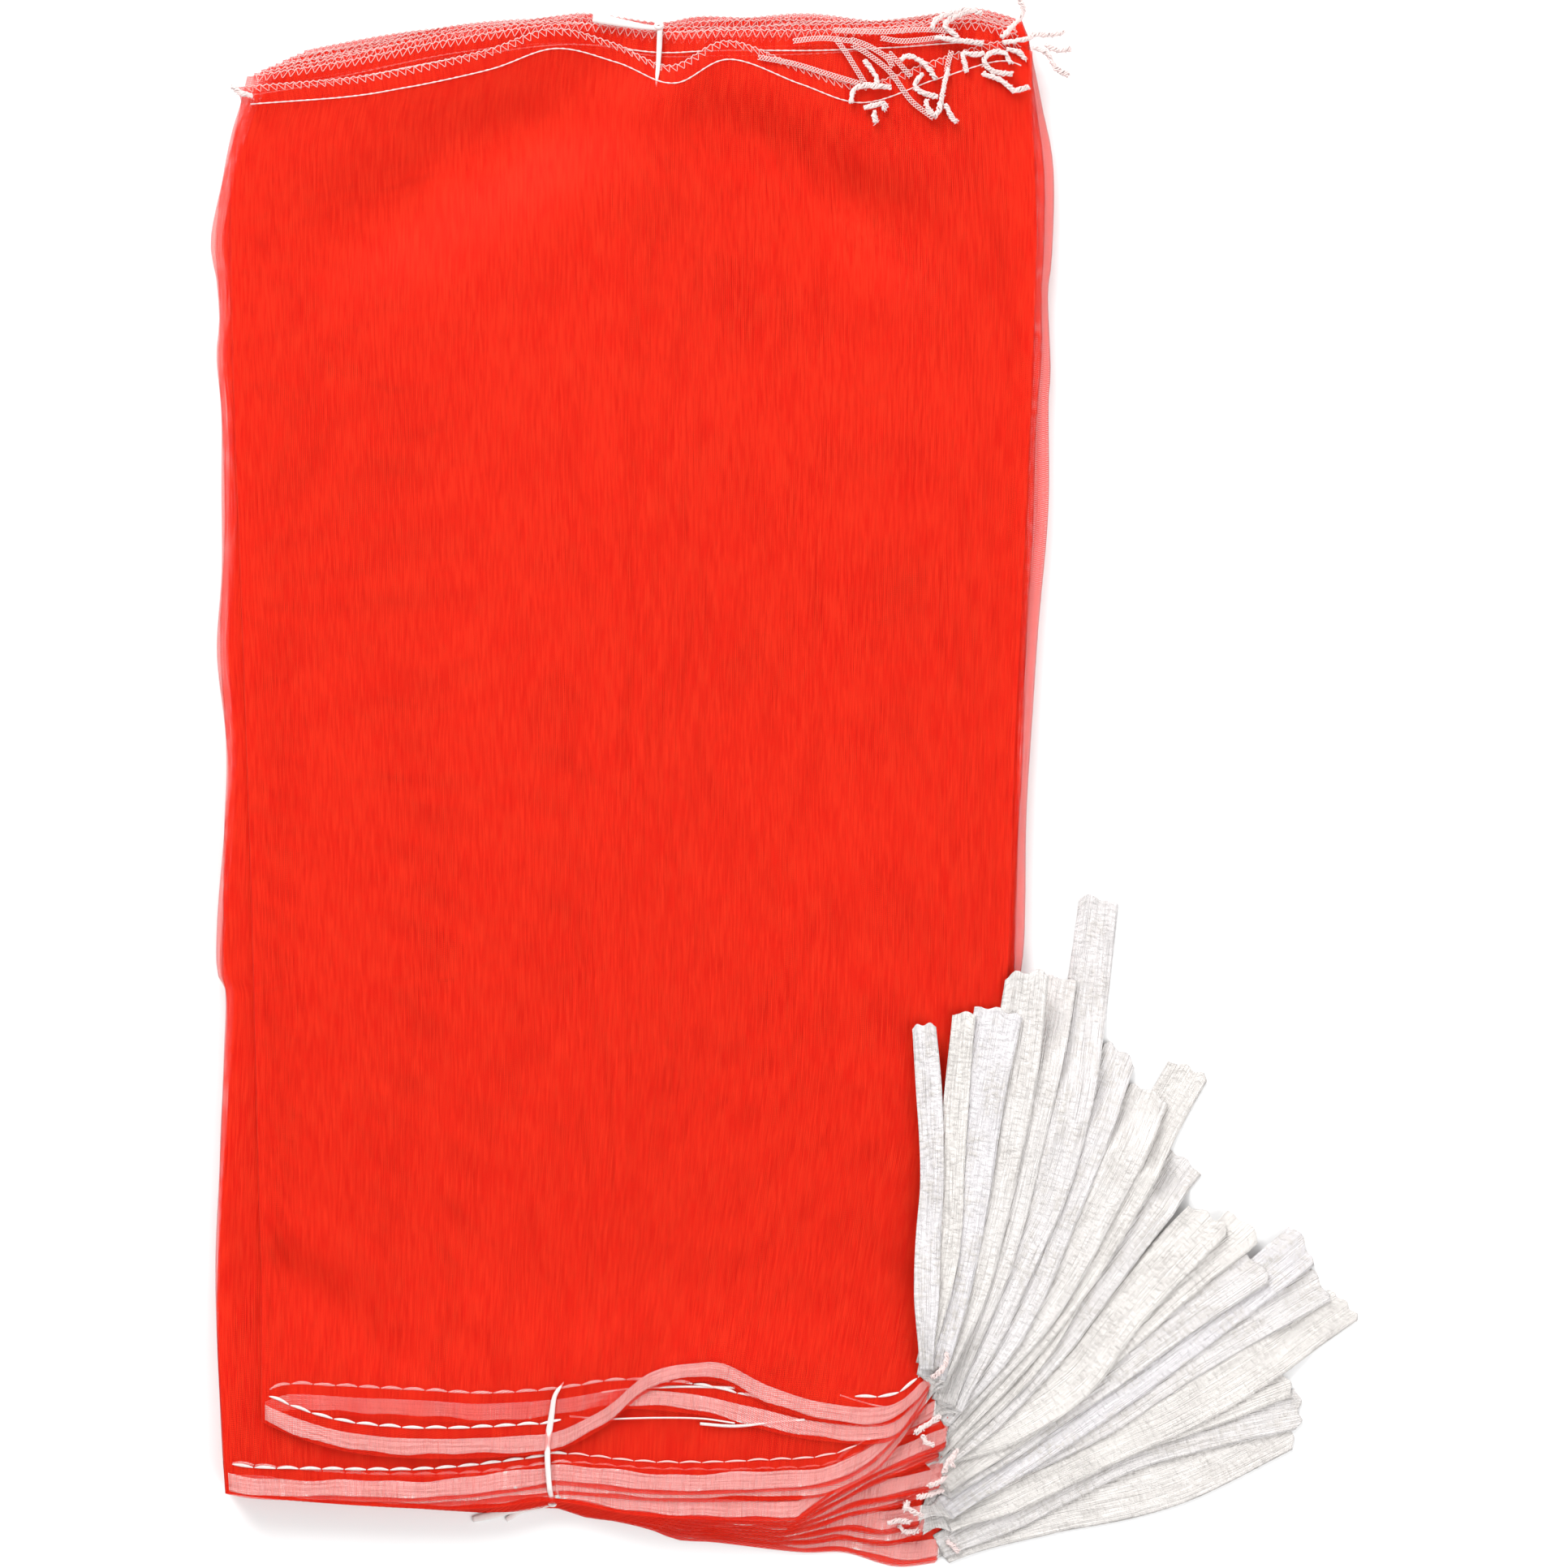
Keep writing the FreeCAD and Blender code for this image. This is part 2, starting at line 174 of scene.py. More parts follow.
def dense(points, per_span=24):
    """Smooth line through given points, as an even table of arc length and position."""
    p = np.array(points, float)
    ends = np.vstack([2 * p[0] - p[1], p, 2 * p[-1] - p[-2]])
    t = np.linspace(0, 1, per_span, endpoint=False)[:, None]
    pieces = []
    for a, b, c, d in zip(ends, ends[1:], ends[2:], ends[3:]):
        square, cube = 2 * a - 5 * b + 4 * c - d, 3 * b - a - 3 * c + d
        pieces.append(0.5 * (2 * b + (c - a) * t + square * t**2 + cube * t**3))
    line = np.vstack(pieces + [p[-1:]])
    return arc_length(line), line


def at_shares(points, shares):
    """Positions at shares of the arc length of a smooth line."""
    length, line = dense(points)
    return read_line(line, length, np.asarray(shares) * length[-1])


def smoothstep(x, low, high):
    t = np.clip((x - low) / (high - low), 0, 1)
    return t * t * (3 - 2 * t)


def mix(a, b, share):
    return a + (b - a) * share


# Soft ridges and valleys that the pile's plies share: start, end, half width, height
FOLDS = (
    ((4, 246), (-118, 180), 14, -7.0),
    ((8, 250), (-45, 178), 12, 1.6),
    ((14, 244), (112, 172), 11, -6.6),
    ((14, 252), (110, 206), 9, 2.6),
    ((10, 245), (12, 190), 16, 1.6),
    ((60, 205), (128, 120), 20, -2.0),
    ((-70, 225), (-125, 215), 16, 1.6),
    ((-24, -204), (-66, -172), 6, 1.7),
    ((-24, -204), (-28, -166), 6, -1.8),
    ((-24, -204), (18, -176), 6, 1.6),
    ((-130, -160), (-70, -202), 5, -2.2),
    ((-124, -146), (-58, -194), 6, 1.8),
    ((-96, -168), (-34, -202), 5, -1.6),
    ((5, -200), (64, -194), 6, 1.6),
    ((-60, 60), (-10, -60), 30, 1.0),
    ((70, 90), (40, -40), 35, -1.0),
    ((-110, 120), (-90, -60), 28, -1.0),
    ((95, 20), (100, -150), 22, 1.2),
    ((-20, 120), (60, 60), 24, 0.9),
    ((20, -90), (80, -150), 20, -1.0),
)


def fold_height(x, y):
    """Sum of the soft folds at a point in plan."""
    total = np.zeros(np.shape(x))
    for (ax, ay), (bx, by), width, height in FOLDS:
        dx, dy = bx - ax, by - ay
        square = dx * dx + dy * dy
        t = np.clip(((x - ax) * dx + (y - ay) * dy) / square, 0, 1)
        away = np.hypot(x - ax - t * dx, y - ay - t * dy)
        taper = smoothstep(t, -0.05, 0.15) * (1 - smoothstep(t, 0.7, 1.1))
        total += height * taper * np.exp(-0.5 * (away / width) ** 2)
    return total


def pile_thickness(x, y):
    """Local height of the whole pile, without the soft folds."""
    t = FIELD_THICKNESS + HEM_RISE * (1 - smoothstep(y, -215, -165))
    t = t + SEAM_RISE * smoothstep(y, 222, 245)
    t = t - 4.2 * np.exp(-(((x + 25) / 20) ** 2)) * (1 - smoothstep(y, -232, -190))
    t = t - 4.0 * np.exp(-(((x - 9) / 18) ** 2)) * smoothstep(y, 228, 258)
    return t


def ply_height(x, y, ply):
    """Height of one ply's middle. Ply 0 is the lowest and ply 19 the uppermost."""
    share = (ply + 0.5) / PLIES
    return pile_thickness(x, y) * share + fold_height(x, y) * share**1.5


def sheet_waves(x, y, seed, size):
    """Small smooth waves of one ply."""
    phases = np.random.default_rng(seed).uniform(0, 2 * math.pi, 6)
    wave = np.sin(x / 23 + phases[0] + 0.6 * np.sin(y / 61 + phases[1]))
    wave += np.sin(y / 31 + phases[2] + 0.8 * np.sin(x / 47 + phases[3]))
    wave += 0.6 * np.sin((x + y) / 17 + phases[4]) + 0.5 * np.sin((x - 1.4 * y) / 13 + phases[5])
    return size * wave / 3


# Sacks
HEM_TUBE = 8.6
STITCH_LINE = 11.0
SAFETY_LINE = 7.0
FOLD_RADIUS = 3.0
LOWEST = 0.06


def edge_lines(index):
    """Closed edge, left side, right side and both mouth edges of one sack, as plan functions."""
    depth = 0.0 if index < 2 else (index - 2) / (SACK_COUNT - 2)
    end_shift = np.array((EXIT_SHIFT[index - 1], EXIT_DROP[index - 1]))

    def closed(u):
        if index == 1:
            return at_shares(CLOSED_TOP, u)
        line = mix(at_shares(CLOSED_SECOND, u), at_shares(CLOSED_LAST, u), depth)
        line[:, 1] += 1.3 * np.sin(np.pi * u) ** 0.5 * np.sin((5 + index) * u + 1.9 * index)
        return line

    def left(v):
        if index == 1:
            return at_shares(LEFT_TOP, v)
        return mix(at_shares(LEFT_PILE, v), at_shares(LEFT_LOBES, v), LEFT_OUT[index - 1])

    def right(v):
        return mix(at_shares(RIGHT_TOP, v), at_shares(RIGHT_LOBES, v), RIGHT_OUT[index - 1])

    def mouth(u, ply):
        return plain_mouth(u, ply) + end_shift * smoothstep(u, 0.82, 1.0)[:, None]

    def plain_mouth(u, ply):
        if index == 1:
            return at_shares(MOUTH_TOP_FRONT if ply else MOUTH_TOP_BACK, u)
        if index == 2:
            return at_shares(MOUTH_SECOND_FRONT if ply else MOUTH_SECOND_BACK, u)
        step = (index - 3 + (0.0 if ply else BACK_HEM_STEP)) / (SACK_COUNT - 3 + BACK_HEM_STEP)
        return mix(at_shares(MOUTH_THIRD, u), at_shares(MOUTH_LAST, u), step)

    return closed, left, right, mouth


def sack_plan(index, ply, u, v):
    """Plan position of a sack's ply at share u across and v along, as a Coons patch."""
    closed, left, right, mouth = edge_lines(index)
    top = closed(u)[None, :, :]
    low = mouth(u, ply)[None, :, :]
    side_left = left(v)[:, None, :]
    side_right = right(v)[:, None, :]
    left_ends = left(np.array([0.0, 1.0]))
    right_ends = right(np.array([0.0, 1.0]))
    # The sides are bent so that they meet the ends' corners exactly.
    vv = v[:, None, None]
    uu = u[None, :, None]
    first, last = mouth(np.array([0.0, 1.0]), ply)
    start, stop = closed(np.array([0.0, 1.0]))
    side_left = side_left + (1 - vv) * (start - left_ends[0]) + vv * (first - left_ends[1])
    side_right = side_right + (1 - vv) * (stop - right_ends[0]) + vv * (last - right_ends[1])
    corners = (1 - uu) * (1 - vv) * start + uu * (1 - vv) * stop
    corners = corners + (1 - uu) * vv * first + uu * vv * last
    plan = (1 - vv) * top + vv * low + (1 - uu) * side_left + uu * side_right - corners
    centre = np.array(VIEW_CENTRE) / MM
    plan = centre + (plan - centre) * (1 + LAYER_SPREAD * (index - 1))
    if index > 1:
        phase = 1.7 * index
        wave = np.sin(v * 17 + phase) * 0.5 + np.sin(v * 41 + 2.3 * phase) * 0.3
        envelope = np.sqrt(np.maximum(np.sin(np.pi * v), 0))
        edge = (np.abs(2 * u - 1) ** 6)[None, :]
        plan[..., 0] += (wave * envelope)[:, None] * edge
    return plan


def across_shares(count):
    """Shares across the sack, closer together near both side folds."""
    t = np.linspace(0, 1, count)
    return mix(t, 0.5 - 0.5 * np.cos(np.pi * t), 0.75)


def ply_number(index, front):
    return 2 * (SACK_COUNT - index) + (1 if front else 0)


def middle_height(index, x, y):
    """Height midway between a sack's two plies."""
    return 0.5 * (
        ply_height(x, y, ply_number(index, True)) + ply_height(x, y, ply_number(index, False))
    )


def tube_bulge(index, front):
    """Half thickness of the hem tube. The top sack's front hem is free to stand up."""
    return 0.85 if index == 1 and front else 0.42


def ply_surface(index, front, u, distances, bulge_sign):
    """Points of one ply at shares u across and at distances from the mouth's fold edge."""
    v = 1 - distances / SACK_LENGTH
    plan = sack_plan(index, front, u, v)
    x, y = plan[..., 0], plan[..., 1]
    ply = ply_height(x, y, ply_number(index, front))
    middle = middle_height(index, x, y)
    side = np.minimum(u, 1 - u) * SACK_WIDTH
    side_round = np.sqrt(1 - (1 - np.clip(side / FOLD_RADIUS, 0, 1)) ** 2)
    seam = np.clip((SACK_LENGTH - distances) / 6.0, 0.25, 1)
    z = middle + (ply - middle) * side_round[None, :] * seam[:, None]
    waves = sheet_waves(x, y, 10 * index + front, 0.32 if index == 1 and front else 0.12)
    z += waves * side_round[None, :] * seam[:, None]
    inside = np.clip(distances / HEM_TUBE, 0, 1)
    round_part = np.sqrt(np.clip(1 - (2 * inside - 1) ** 2, 0, 1))
    z += bulge_sign * tube_bulge(index, front) * (round_part[:, None] * side_round[None, :])
    return np.stack([x, y, np.maximum(z, LOWEST)], axis=-1)


def add_object(name, data):
    obj = bpy.data.objects.new(name, data)
    bpy.context.scene.collection.objects.link(obj)
    return obj


def new_object(name, vertices, faces):
    """Smoothly shaded mesh object from points in millimetres."""
    mesh = bpy.data.meshes.new(name)
    mesh.from_pydata((np.asarray(vertices) * MM).tolist(), [], faces)
    mesh.validate()
    mesh.polygons.foreach_set("use_smooth", [True] * len(mesh.polygons))
    return add_object(name, mesh)


def set_cloth_map(obj, coordinates):
    """Cloth coordinates in millimetres, one pair for each vertex, kept as a UV map."""
    layer = obj.data.uv_layers.new(name="cloth")
    loops = np.zeros(len(obj.data.loops), np.int32)
    obj.data.loops.foreach_get("vertex_index", loops)
    layer.data.foreach_set("uv", np.asarray(coordinates, np.float32)[loops].ravel())


def make_sack(index, material):
    """Mesh tube folded flat: front and back plies joined at the sides, each with its hem."""
    across = across_shares(110 if index == 1 else 72)
    field = np.linspace(SACK_LENGTH, STITCH_LINE + 3.0, 170 if index == 1 else 100)
    hem = np.concatenate([[STITCH_LINE], HEM_TUBE * (1 + np.cos(np.linspace(0, np.pi, 9))) / 2])
    over = np.concatenate([field, hem])
    under = hem[::-1][1:]
    rows = len(over) + len(under)
    loops = []
    for front in (True, False):
        upper = ply_surface(index, front, across, over, 1.0)
        lower = ply_surface(index, front, across, under, -1.0)
        lower[..., 2] -= 0.05 * np.clip(under / HEM_TUBE, 0, 1)[:, None]
        loops.append(np.concatenate([upper, lower]))
    front_grid, back_grid = loops
    # The side folds are shared, so the back ply's own side points are left out.
    back_part = back_grid[:, ::-1][:, 1:-1]
    ring = np.concatenate([front_grid, back_part], axis=1)
    columns = ring.shape[1]
    a = np.arange(rows - 1)[:, None] * columns
    b = np.arange(columns)[None, :]
    c = (b + 1) % columns
    faces = np.stack([a + b, a + columns + b, a + columns + c, a + c], axis=-1).reshape(-1, 4)
    obj = new_object(f"mesh_sack_{index:02d}", ring.reshape(-1, 3), faces.tolist())
    travelled = np.concatenate([SACK_LENGTH - over, SACK_LENGTH + under])
    width = np.concatenate([across, 2 - across[::-1][1:-1]]) * SACK_WIDTH
    uu, vv = np.meshgrid(width, travelled)
    cloth = np.stack([uu, vv], axis=-1).reshape(-1, 2)
    set_cloth_map(obj, cloth)
    # The last column of faces wraps round, so its cloth coordinates run on to the full width.
    layer = obj.data.uv_layers["cloth"].data
    wrap_faces = np.arange(rows - 1) * columns + columns - 1
    for face in wrap_faces:
        for loop in obj.data.polygons[face].loop_indices:
            if obj.data.loops[loop].vertex_index % columns == 0:
                layer[loop].uv[0] = 2 * SACK_WIDTH
    obj.data.materials.append(material)
    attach(obj, "bundle")
    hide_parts(f"sack_{index:02d}")
    return obj


# Node helpers
def node(tree, kind, **settings):
    made = tree.nodes.new(kind)
    for key, value in settings.items():
        setattr(made, key, value)
    return made


def arithmetic(tree, operation, *values):
    made = node(tree, "ShaderNodeMath", operation=operation)
    for socket, value in zip(made.inputs, values):
        if hasattr(value, "is_output"):
            tree.links.new(value, socket)
        else:
            socket.default_value = value
    return made.outputs[0]


def from_middle(tree, turns):
    """Distance from the middle of each turn, as a share of one."""
    part = arithmetic(tree, "FRACT", turns)
    return arithmetic(tree, "ABSOLUTE", arithmetic(tree, "SUBTRACT", part, 0.5))


def remap(tree, value, low, high, to_low, to_high):
    made = node(tree, "ShaderNodeMapRange", interpolation_type="SMOOTHSTEP")
    tree.links.new(value, made.inputs["Value"])
    for name, number in zip(("From Min", "From Max", "To Min", "To Max"), (low, high, to_low, to_high)):
        made.inputs[name].default_value = number
    return made.outputs["Result"]


def blend_colours(tree, factor, first, second):
    made = node(tree, "ShaderNodeMix", data_type="RGBA")
    tree.links.new(factor, made.inputs["Factor"])
    for name, value in (("A", first), ("B", second)):
        socket = [s for s in made.inputs if s.name == name and s.type == "RGBA"][0]
        if hasattr(value, "is_output"):
            tree.links.new(value, socket)
        else:
            socket.default_value = (*value, 1)
    return [s for s in made.outputs if s.type == "RGBA"][0]


def stretched_noise(tree, vector, scale, detail, scales=(1, 1, 1)):
    mapping = node(tree, "ShaderNodeMapping")
    tree.links.new(vector, mapping.inputs["Vector"])
    mapping.inputs["Scale"].default_value = scales
    noise = node(tree, "ShaderNodeTexNoise")
    noise.inputs["Scale"].default_value = scale
    noise.inputs["Detail"].default_value = detail
    tree.links.new(mapping.outputs["Vector"], noise.inputs["Vector"])
    return noise.outputs["Fac"]


def start_material(name):
    material = bpy.data.materials.new(name)
    material.use_nodes = True
    tree = material.node_tree
    shader = tree.nodes["Principled BSDF"]
    return material, tree, shader


def bump(tree, shader, height, strength, distance):
    made = node(tree, "ShaderNodeBump")
    made.inputs["Strength"].default_value = strength
    made.inputs["Distance"].default_value = distance
    tree.links.new(height, made.inputs["Height"])
    tree.links.new(made.outputs["Normal"], shader.inputs["Normal"])


WALE_PITCH = 0.65
COURSE_PITCH = 0.70


def mesh_material():
    """Fine warp-knit net: upright wales with slanting laps between them, open in between."""
    material, tree, shader = start_material("red_knit_mesh")
    uv = node(tree, "ShaderNodeUVMap", uv_map="cloth")
    split = node(tree, "ShaderNodeSeparateXYZ")
    tree.links.new(uv.outputs["UV"], split.inputs[0])
    across, along = split.outputs["X"], split.outputs["Y"]
    sway = arithmetic(tree, "SINE", arithmetic(tree, "MULTIPLY", along, 2 * math.pi / COURSE_PITCH))
    bent = arithmetic(tree, "ADD", across, arithmetic(tree, "MULTIPLY", sway, 0.09))
    wale_turn = arithmetic(tree, "DIVIDE", bent, WALE_PITCH)
    wale = from_middle(tree, wale_turn)
    lean = arithmetic(tree, "MULTIPLY", wale_turn, 0.25)
    lap_turn = arithmetic(tree, "ADD", arithmetic(tree, "DIVIDE", along, COURSE_PITCH), lean)
    lap = from_middle(tree, lap_turn)
    wale_thread = remap(tree, wale, 0.07, 0.18, 1, 0)
    lap_thread = remap(tree, lap, 0.04, 0.14, 1, 0)
    thread = arithmetic(tree, "MAXIMUM", wale_thread, lap_thread)
    tree.links.new(arithmetic(tree, "MULTIPLY_ADD", thread, 0.92, 0.04), shader.inputs["Alpha"])
    streaks = stretched_noise(tree, uv.outputs["UV"], 1.0, 2, (1.5, 0.09, 1))
    bands = stretched_noise(tree, uv.outputs["UV"], 1.0, 3, (0.09, 0.03, 1))
    shade = arithmetic(tree, "MULTIPLY_ADD", streaks, 0.8, arithmetic(tree, "MULTIPLY", bands, 0.2))
    tone = remap(tree, shade, 0.40, 0.60, 0, 1)
    colour = blend_colours(tree, tone, (0.88, 0.014, 0.004), (1.0, 0.038, 0.011))
    tree.links.new(colour, shader.inputs["Base Color"])
    shader.inputs["Roughness"].default_value = 0.6
    shader.inputs["Sheen Weight"].default_value = 0.12
    shader.inputs["Sheen Roughness"].default_value = 0.4
    shader.inputs["Sheen Tint"].default_value = (1.0, 0.35, 0.28, 1)
    shader.inputs["Specular IOR Level"].default_value = 0.12
    bump(tree, shader, thread, 0.5, 0.0002)
    return material


def tape_material():
    """Crinkled pearly white tape, with fine threads along it and tiny folds across it."""
    material, tree, shader = start_material("pearly_tape")
    uv = node(tree, "ShaderNodeUVMap", uv_map="cloth")
    tint = node(tree, "ShaderNodeAttribute", attribute_name="tint")
    threads = stretched_noise(tree, uv.outputs["UV"], 1.0, 2, (2.6, 0.04, 1))
    crinkle = stretched_noise(tree, uv.outputs["UV"], 1.0, 3, (0.36, 0.62, 1))
    patches = stretched_noise(tree, uv.outputs["UV"], 1.0, 3, (0.12, 0.07, 1))
    warm = blend_colours(tree, tint.outputs["Fac"], (0.93, 0.885, 0.845), (0.91, 0.875, 0.895))
    fine, broad = arithmetic(tree, "MULTIPLY", threads, 0.45), arithmetic(tree, "MULTIPLY", crinkle, 0.55)
    shade = arithmetic(tree, "ADD", fine, broad)
    # Painted shade: the colour darkens where the crinkle and thread relief lies low, and random patches
    # leave it out
    light = remap(tree, shade, 0.38, 0.60, 0.0, 1)
    shade_free_patches = remap(tree, patches, 0.42, 0.60, 0, 1)
    painted_crinkle_shade = blend_colours(tree, light, (0.78, 0.735, 0.70), warm)
    colour = blend_colours(tree, shade_free_patches, painted_crinkle_shade, warm)
    tree.links.new(colour, shader.inputs["Base Color"])
    tree.links.new(remap(tree, patches, 0.4, 0.6, 0.26, 0.55), shader.inputs["Roughness"])
    shader.inputs["Sheen Weight"].default_value = 0.15
    shader.inputs["Specular IOR Level"].default_value = 0.6
    shader.inputs["Alpha"].default_value = 0.90
    bump(tree, shader, shade, 1.0, 0.0026)
    return material


def thread_material():
    """Fuzzy thread, white to pink as its tone attribute says."""
    material, tree, shader = start_material("white_thread")
    place = node(tree, "ShaderNodeTexCoord")
    fibres = stretched_noise(tree, place.outputs["Object"], 2600, 3)
    tone = node(tree, "ShaderNodeAttribute", attribute_name="tone")
    fluff = remap(tree, fibres, 0.3, 0.7, 0, 1)
    white = blend_colours(tree, fluff, (0.70, 0.57, 0.55), (0.86, 0.76, 0.74))
    colour = blend_colours(tree, tone.outputs["Fac"], white, (0.90, 0.26, 0.22))
    tree.links.new(colour, shader.inputs["Base Color"])
    shader.inputs["Roughness"].default_value = 0.75
    shader.inputs["Sheen Weight"].default_value = 0.4
    bump(tree, shader, fibres, 0.7, 0.0003)
    return material


def tie_material():
    """Thin, slightly see-through plastic with faint streaks."""
    material, tree, shader = start_material("tie_plastic")
    place = node(tree, "ShaderNodeTexCoord")
    streaks = stretched_noise(tree, place.outputs["Object"], 900, 2, (3, 0.3, 1))
    colour = blend_colours(tree, streaks, (0.82, 0.70, 0.68), (0.90, 0.82, 0.80))
    tree.links.new(colour, shader.inputs["Base Color"])
    shader.inputs["Roughness"].default_value = 0.32
    shader.inputs["Alpha"].default_value = 0.93
    bump(tree, shader, streaks, 0.3, 0.0002)
    return material


TAPE = tape_material()
MESH = mesh_material()
THREAD = thread_material()
PLASTIC = tie_material()

# Drawstring tails
TAPE_WIDTH = 0.0145
TAPE_COLUMNS = 15
TAPE_ROWS = 170
ROOT_OPENING = 0.60
FOLDED_TAPE_WIDTH = 0.0085
# Where each sack's two tails turn out of its hem, in metres
TAIL_STARTS = (
    (0.1100, -0.1980), (0.1095, -0.2048), (0.1138, -0.2115), (0.1137, -0.2188), (0.1136, -0.2261),
    (0.1134, -0.2334), (0.1133, -0.2407), (0.1131, -0.2480), (0.1130, -0.2553), (0.1128, -0.2626),
)
# Plan points of each tail from there to its cut tip, in metres: front tail, then back tail
TAIL_ROUTES = (
    (
        ((0.1025, -0.163), (0.1040, -0.124), (0.101, -0.081)),
        ((0.110, -0.160), (0.110, -0.120), (0.115, -0.077)),
    ),
    (
        ((0.115, -0.166), (0.1185, -0.122), (0.127, -0.076)),
        ((0.119, -0.168), (0.131, -0.120), (0.137, -0.063)),
    ),
    (
        ((0.122, -0.172), (0.1355, -0.123), (0.1475, -0.0655)),
        ((0.129, -0.176), (0.149, -0.120), (0.1625, -0.038)),
    ),
    (
        ((0.1315, -0.183), (0.150, -0.134), (0.170, -0.091)),
        ((0.137, -0.189), (0.163, -0.144), (0.180, -0.105)),
    ),
    (
        ((0.143, -0.186), (0.169, -0.134), (0.194, -0.097)),
        ((0.134, -0.201), (0.1595, -0.162), (0.176, -0.134)),
    ),
    (
        ((0.140, -0.203), (0.1695, -0.164), (0.1925, -0.129)),
        ((0.147, -0.208), (0.175, -0.178), (0.201, -0.148)),
    ),
    (
        ((0.145, -0.214), (0.176, -0.181), (0.2135, -0.151)),
        ((0.144, -0.218), (0.185, -0.187), (0.217, -0.1645)),
    ),
    (
        ((0.146, -0.220), (0.188, -0.192), (0.234, -0.158)),
        ((0.148, -0.229), (0.190, -0.200), (0.2395, -0.1715)),
    ),
    (
        ((0.152, -0.229), (0.200, -0.207), (0.2485, -0.179)),
        ((0.146, -0.232), (0.186, -0.215), (0.227, -0.204)),
    ),
    (
        ((0.144, -0.243), (0.186, -0.226), (0.2325, -0.2155)),
        ((0.138, -0.254), (0.174, -0.246), (0.202, -0.235), (0.2275, -0.222)),
    ),
)
# Small shifts that keep the tails from looking regular: at their roots, and midway
ROOT_SHIFT = ((-0.0105, -0.0025), (-0.0035, 0.0025))
ROUTE_SHIFT = 0.0045
TAPE_HALF = 0.00011
# Steps between the pieces' cloth coordinates, so that no two have the same pattern
CLOTH_ACROSS = 50
CLOTH_ALONG = 400
# First seed of each kind of piece
TAIL_SEED, HEM_TAPE_SEED, HEM_THREAD_SEED, THREAD_TAIL_SEED = 100, 300, 500, 900
# Square cells, in millimetres, that hold the height reached so far where the tails lie
CELL = 1.5
FAN_CORNER = np.array([80.0, -285.0])
FAN_CELLS = (125, 180)
TAPE_REST = 0.5
# The uppermost tail lies clear of the ones it slides over when its string is pulled out
PULL_STEPS = (0.004, 0.008, 0.012, 0.016, 0.020, 0.025)


def start_heights():
    """Top of the pile where the tails could lie on it, and the floor elsewhere, by small cells."""
    x = FAN_CORNER[0] + CELL * np.arange(FAN_CELLS[0])[:, None] + np.zeros(FAN_CELLS)
    y = FAN_CORNER[1] + CELL * np.arange(FAN_CELLS[1])[None, :] + np.zeros(FAN_CELLS)
    edge = np.array(RIGHT_TOP)[::-1]
    inside = (x < np.interp(y, edge[:, 1], edge[:, 0]) + 1) & (y > edge[0, 1] + 2)
    return np.where(inside, ply_height(x, y, PLIES - 1) + 0.5, 0.1)


fan_heights = start_heights()


def cells_under(points):
    cell = np.rint((points[..., :2] / MM - FAN_CORNER) / CELL).astype(int)
    return np.clip(cell[..., 0], 0, FAN_CELLS[0] - 1), np.clip(cell[..., 1], 0, FAN_CELLS[1] - 1)


def smooth_over(values, reach):
    """Smooth profile that stays above a jagged one."""
    padded = np.pad(values, 2 * reach, mode="edge")
    windows = np.lib.stride_tricks.sliding_window_view(padded, 2 * reach + 1)
    highest = windows.max(axis=1)
    return np.lib.stride_tricks.sliding_window_view(highest, 2 * reach + 1).mean(axis=1)


def lay_tail(index, front, footprint):
    """Heights in metres of a tail that leaves its hem and sinks onto whatever lies below it."""
    start = np.array([TAIL_STARTS[index - 1]]) / MM
    out = ply_height(start[:, 0], start[:, 1], ply_number(index, front))[0]
    row, column = cells_under(footprint)
    below = fan_heights[row, column].max(axis=1)
    if index == 1 and front:
        for step in PULL_STEPS:
            below = np.maximum(below, fan_heights[cells_under(footprint + (step, 0.0, 0.0))].max(axis=1))
    rest = smooth_over(below, 6) + TAPE_REST
    t = np.linspace(0, 1, len(rest))
    sink = 1 - smoothstep(t, 0.0, 0.45)
    heights = np.maximum(rest, mix(rest, out, sink))
    np.maximum.at(fan_heights, (row, column), (heights + 0.3)[:, None] + np.zeros(row.shape))
    return heights * MM


def nurbs_points(name, points):
    """Points read from the smooth NURBS line that has the route's points as control points."""
    curve = bpy.data.curves.new(name, "CURVE")
    curve.dimensions = "3D"
    curve.resolution_u = 24
    spline = curve.splines.new("NURBS")
    spline.points.add(len(points) - 1)
    for point, place in zip(spline.points, points):
        point.co = (*place, 1)
    spline.order_u = 3
    spline.use_endpoint_u = True
    holder = add_object(name, curve)
    bpy.context.view_layer.update()
    mesh = bpy.data.meshes.new_from_object(holder)
    line = np.array([v.co for v in mesh.vertices])
    bpy.data.objects.remove(holder)
    bpy.data.meshes.remove(mesh)
    return line


def along_line(line, count):
    """Evenly spaced points and unit directions along a line in space."""
    length = arc_length(line)
    even = read_line(line, length, np.linspace(0, length[-1], count))
    heading = np.gradient(even, axis=0)
    heading /= np.linalg.norm(heading, axis=1)[:, None]
    return even, heading, length[-1]


def sideways(heading):
    """Level unit directions across a line."""
    flat = np.stack([-heading[:, 1], heading[:, 0], np.zeros(len(heading))], axis=-1)
    return flat / np.linalg.norm(flat, axis=1)[:, None]


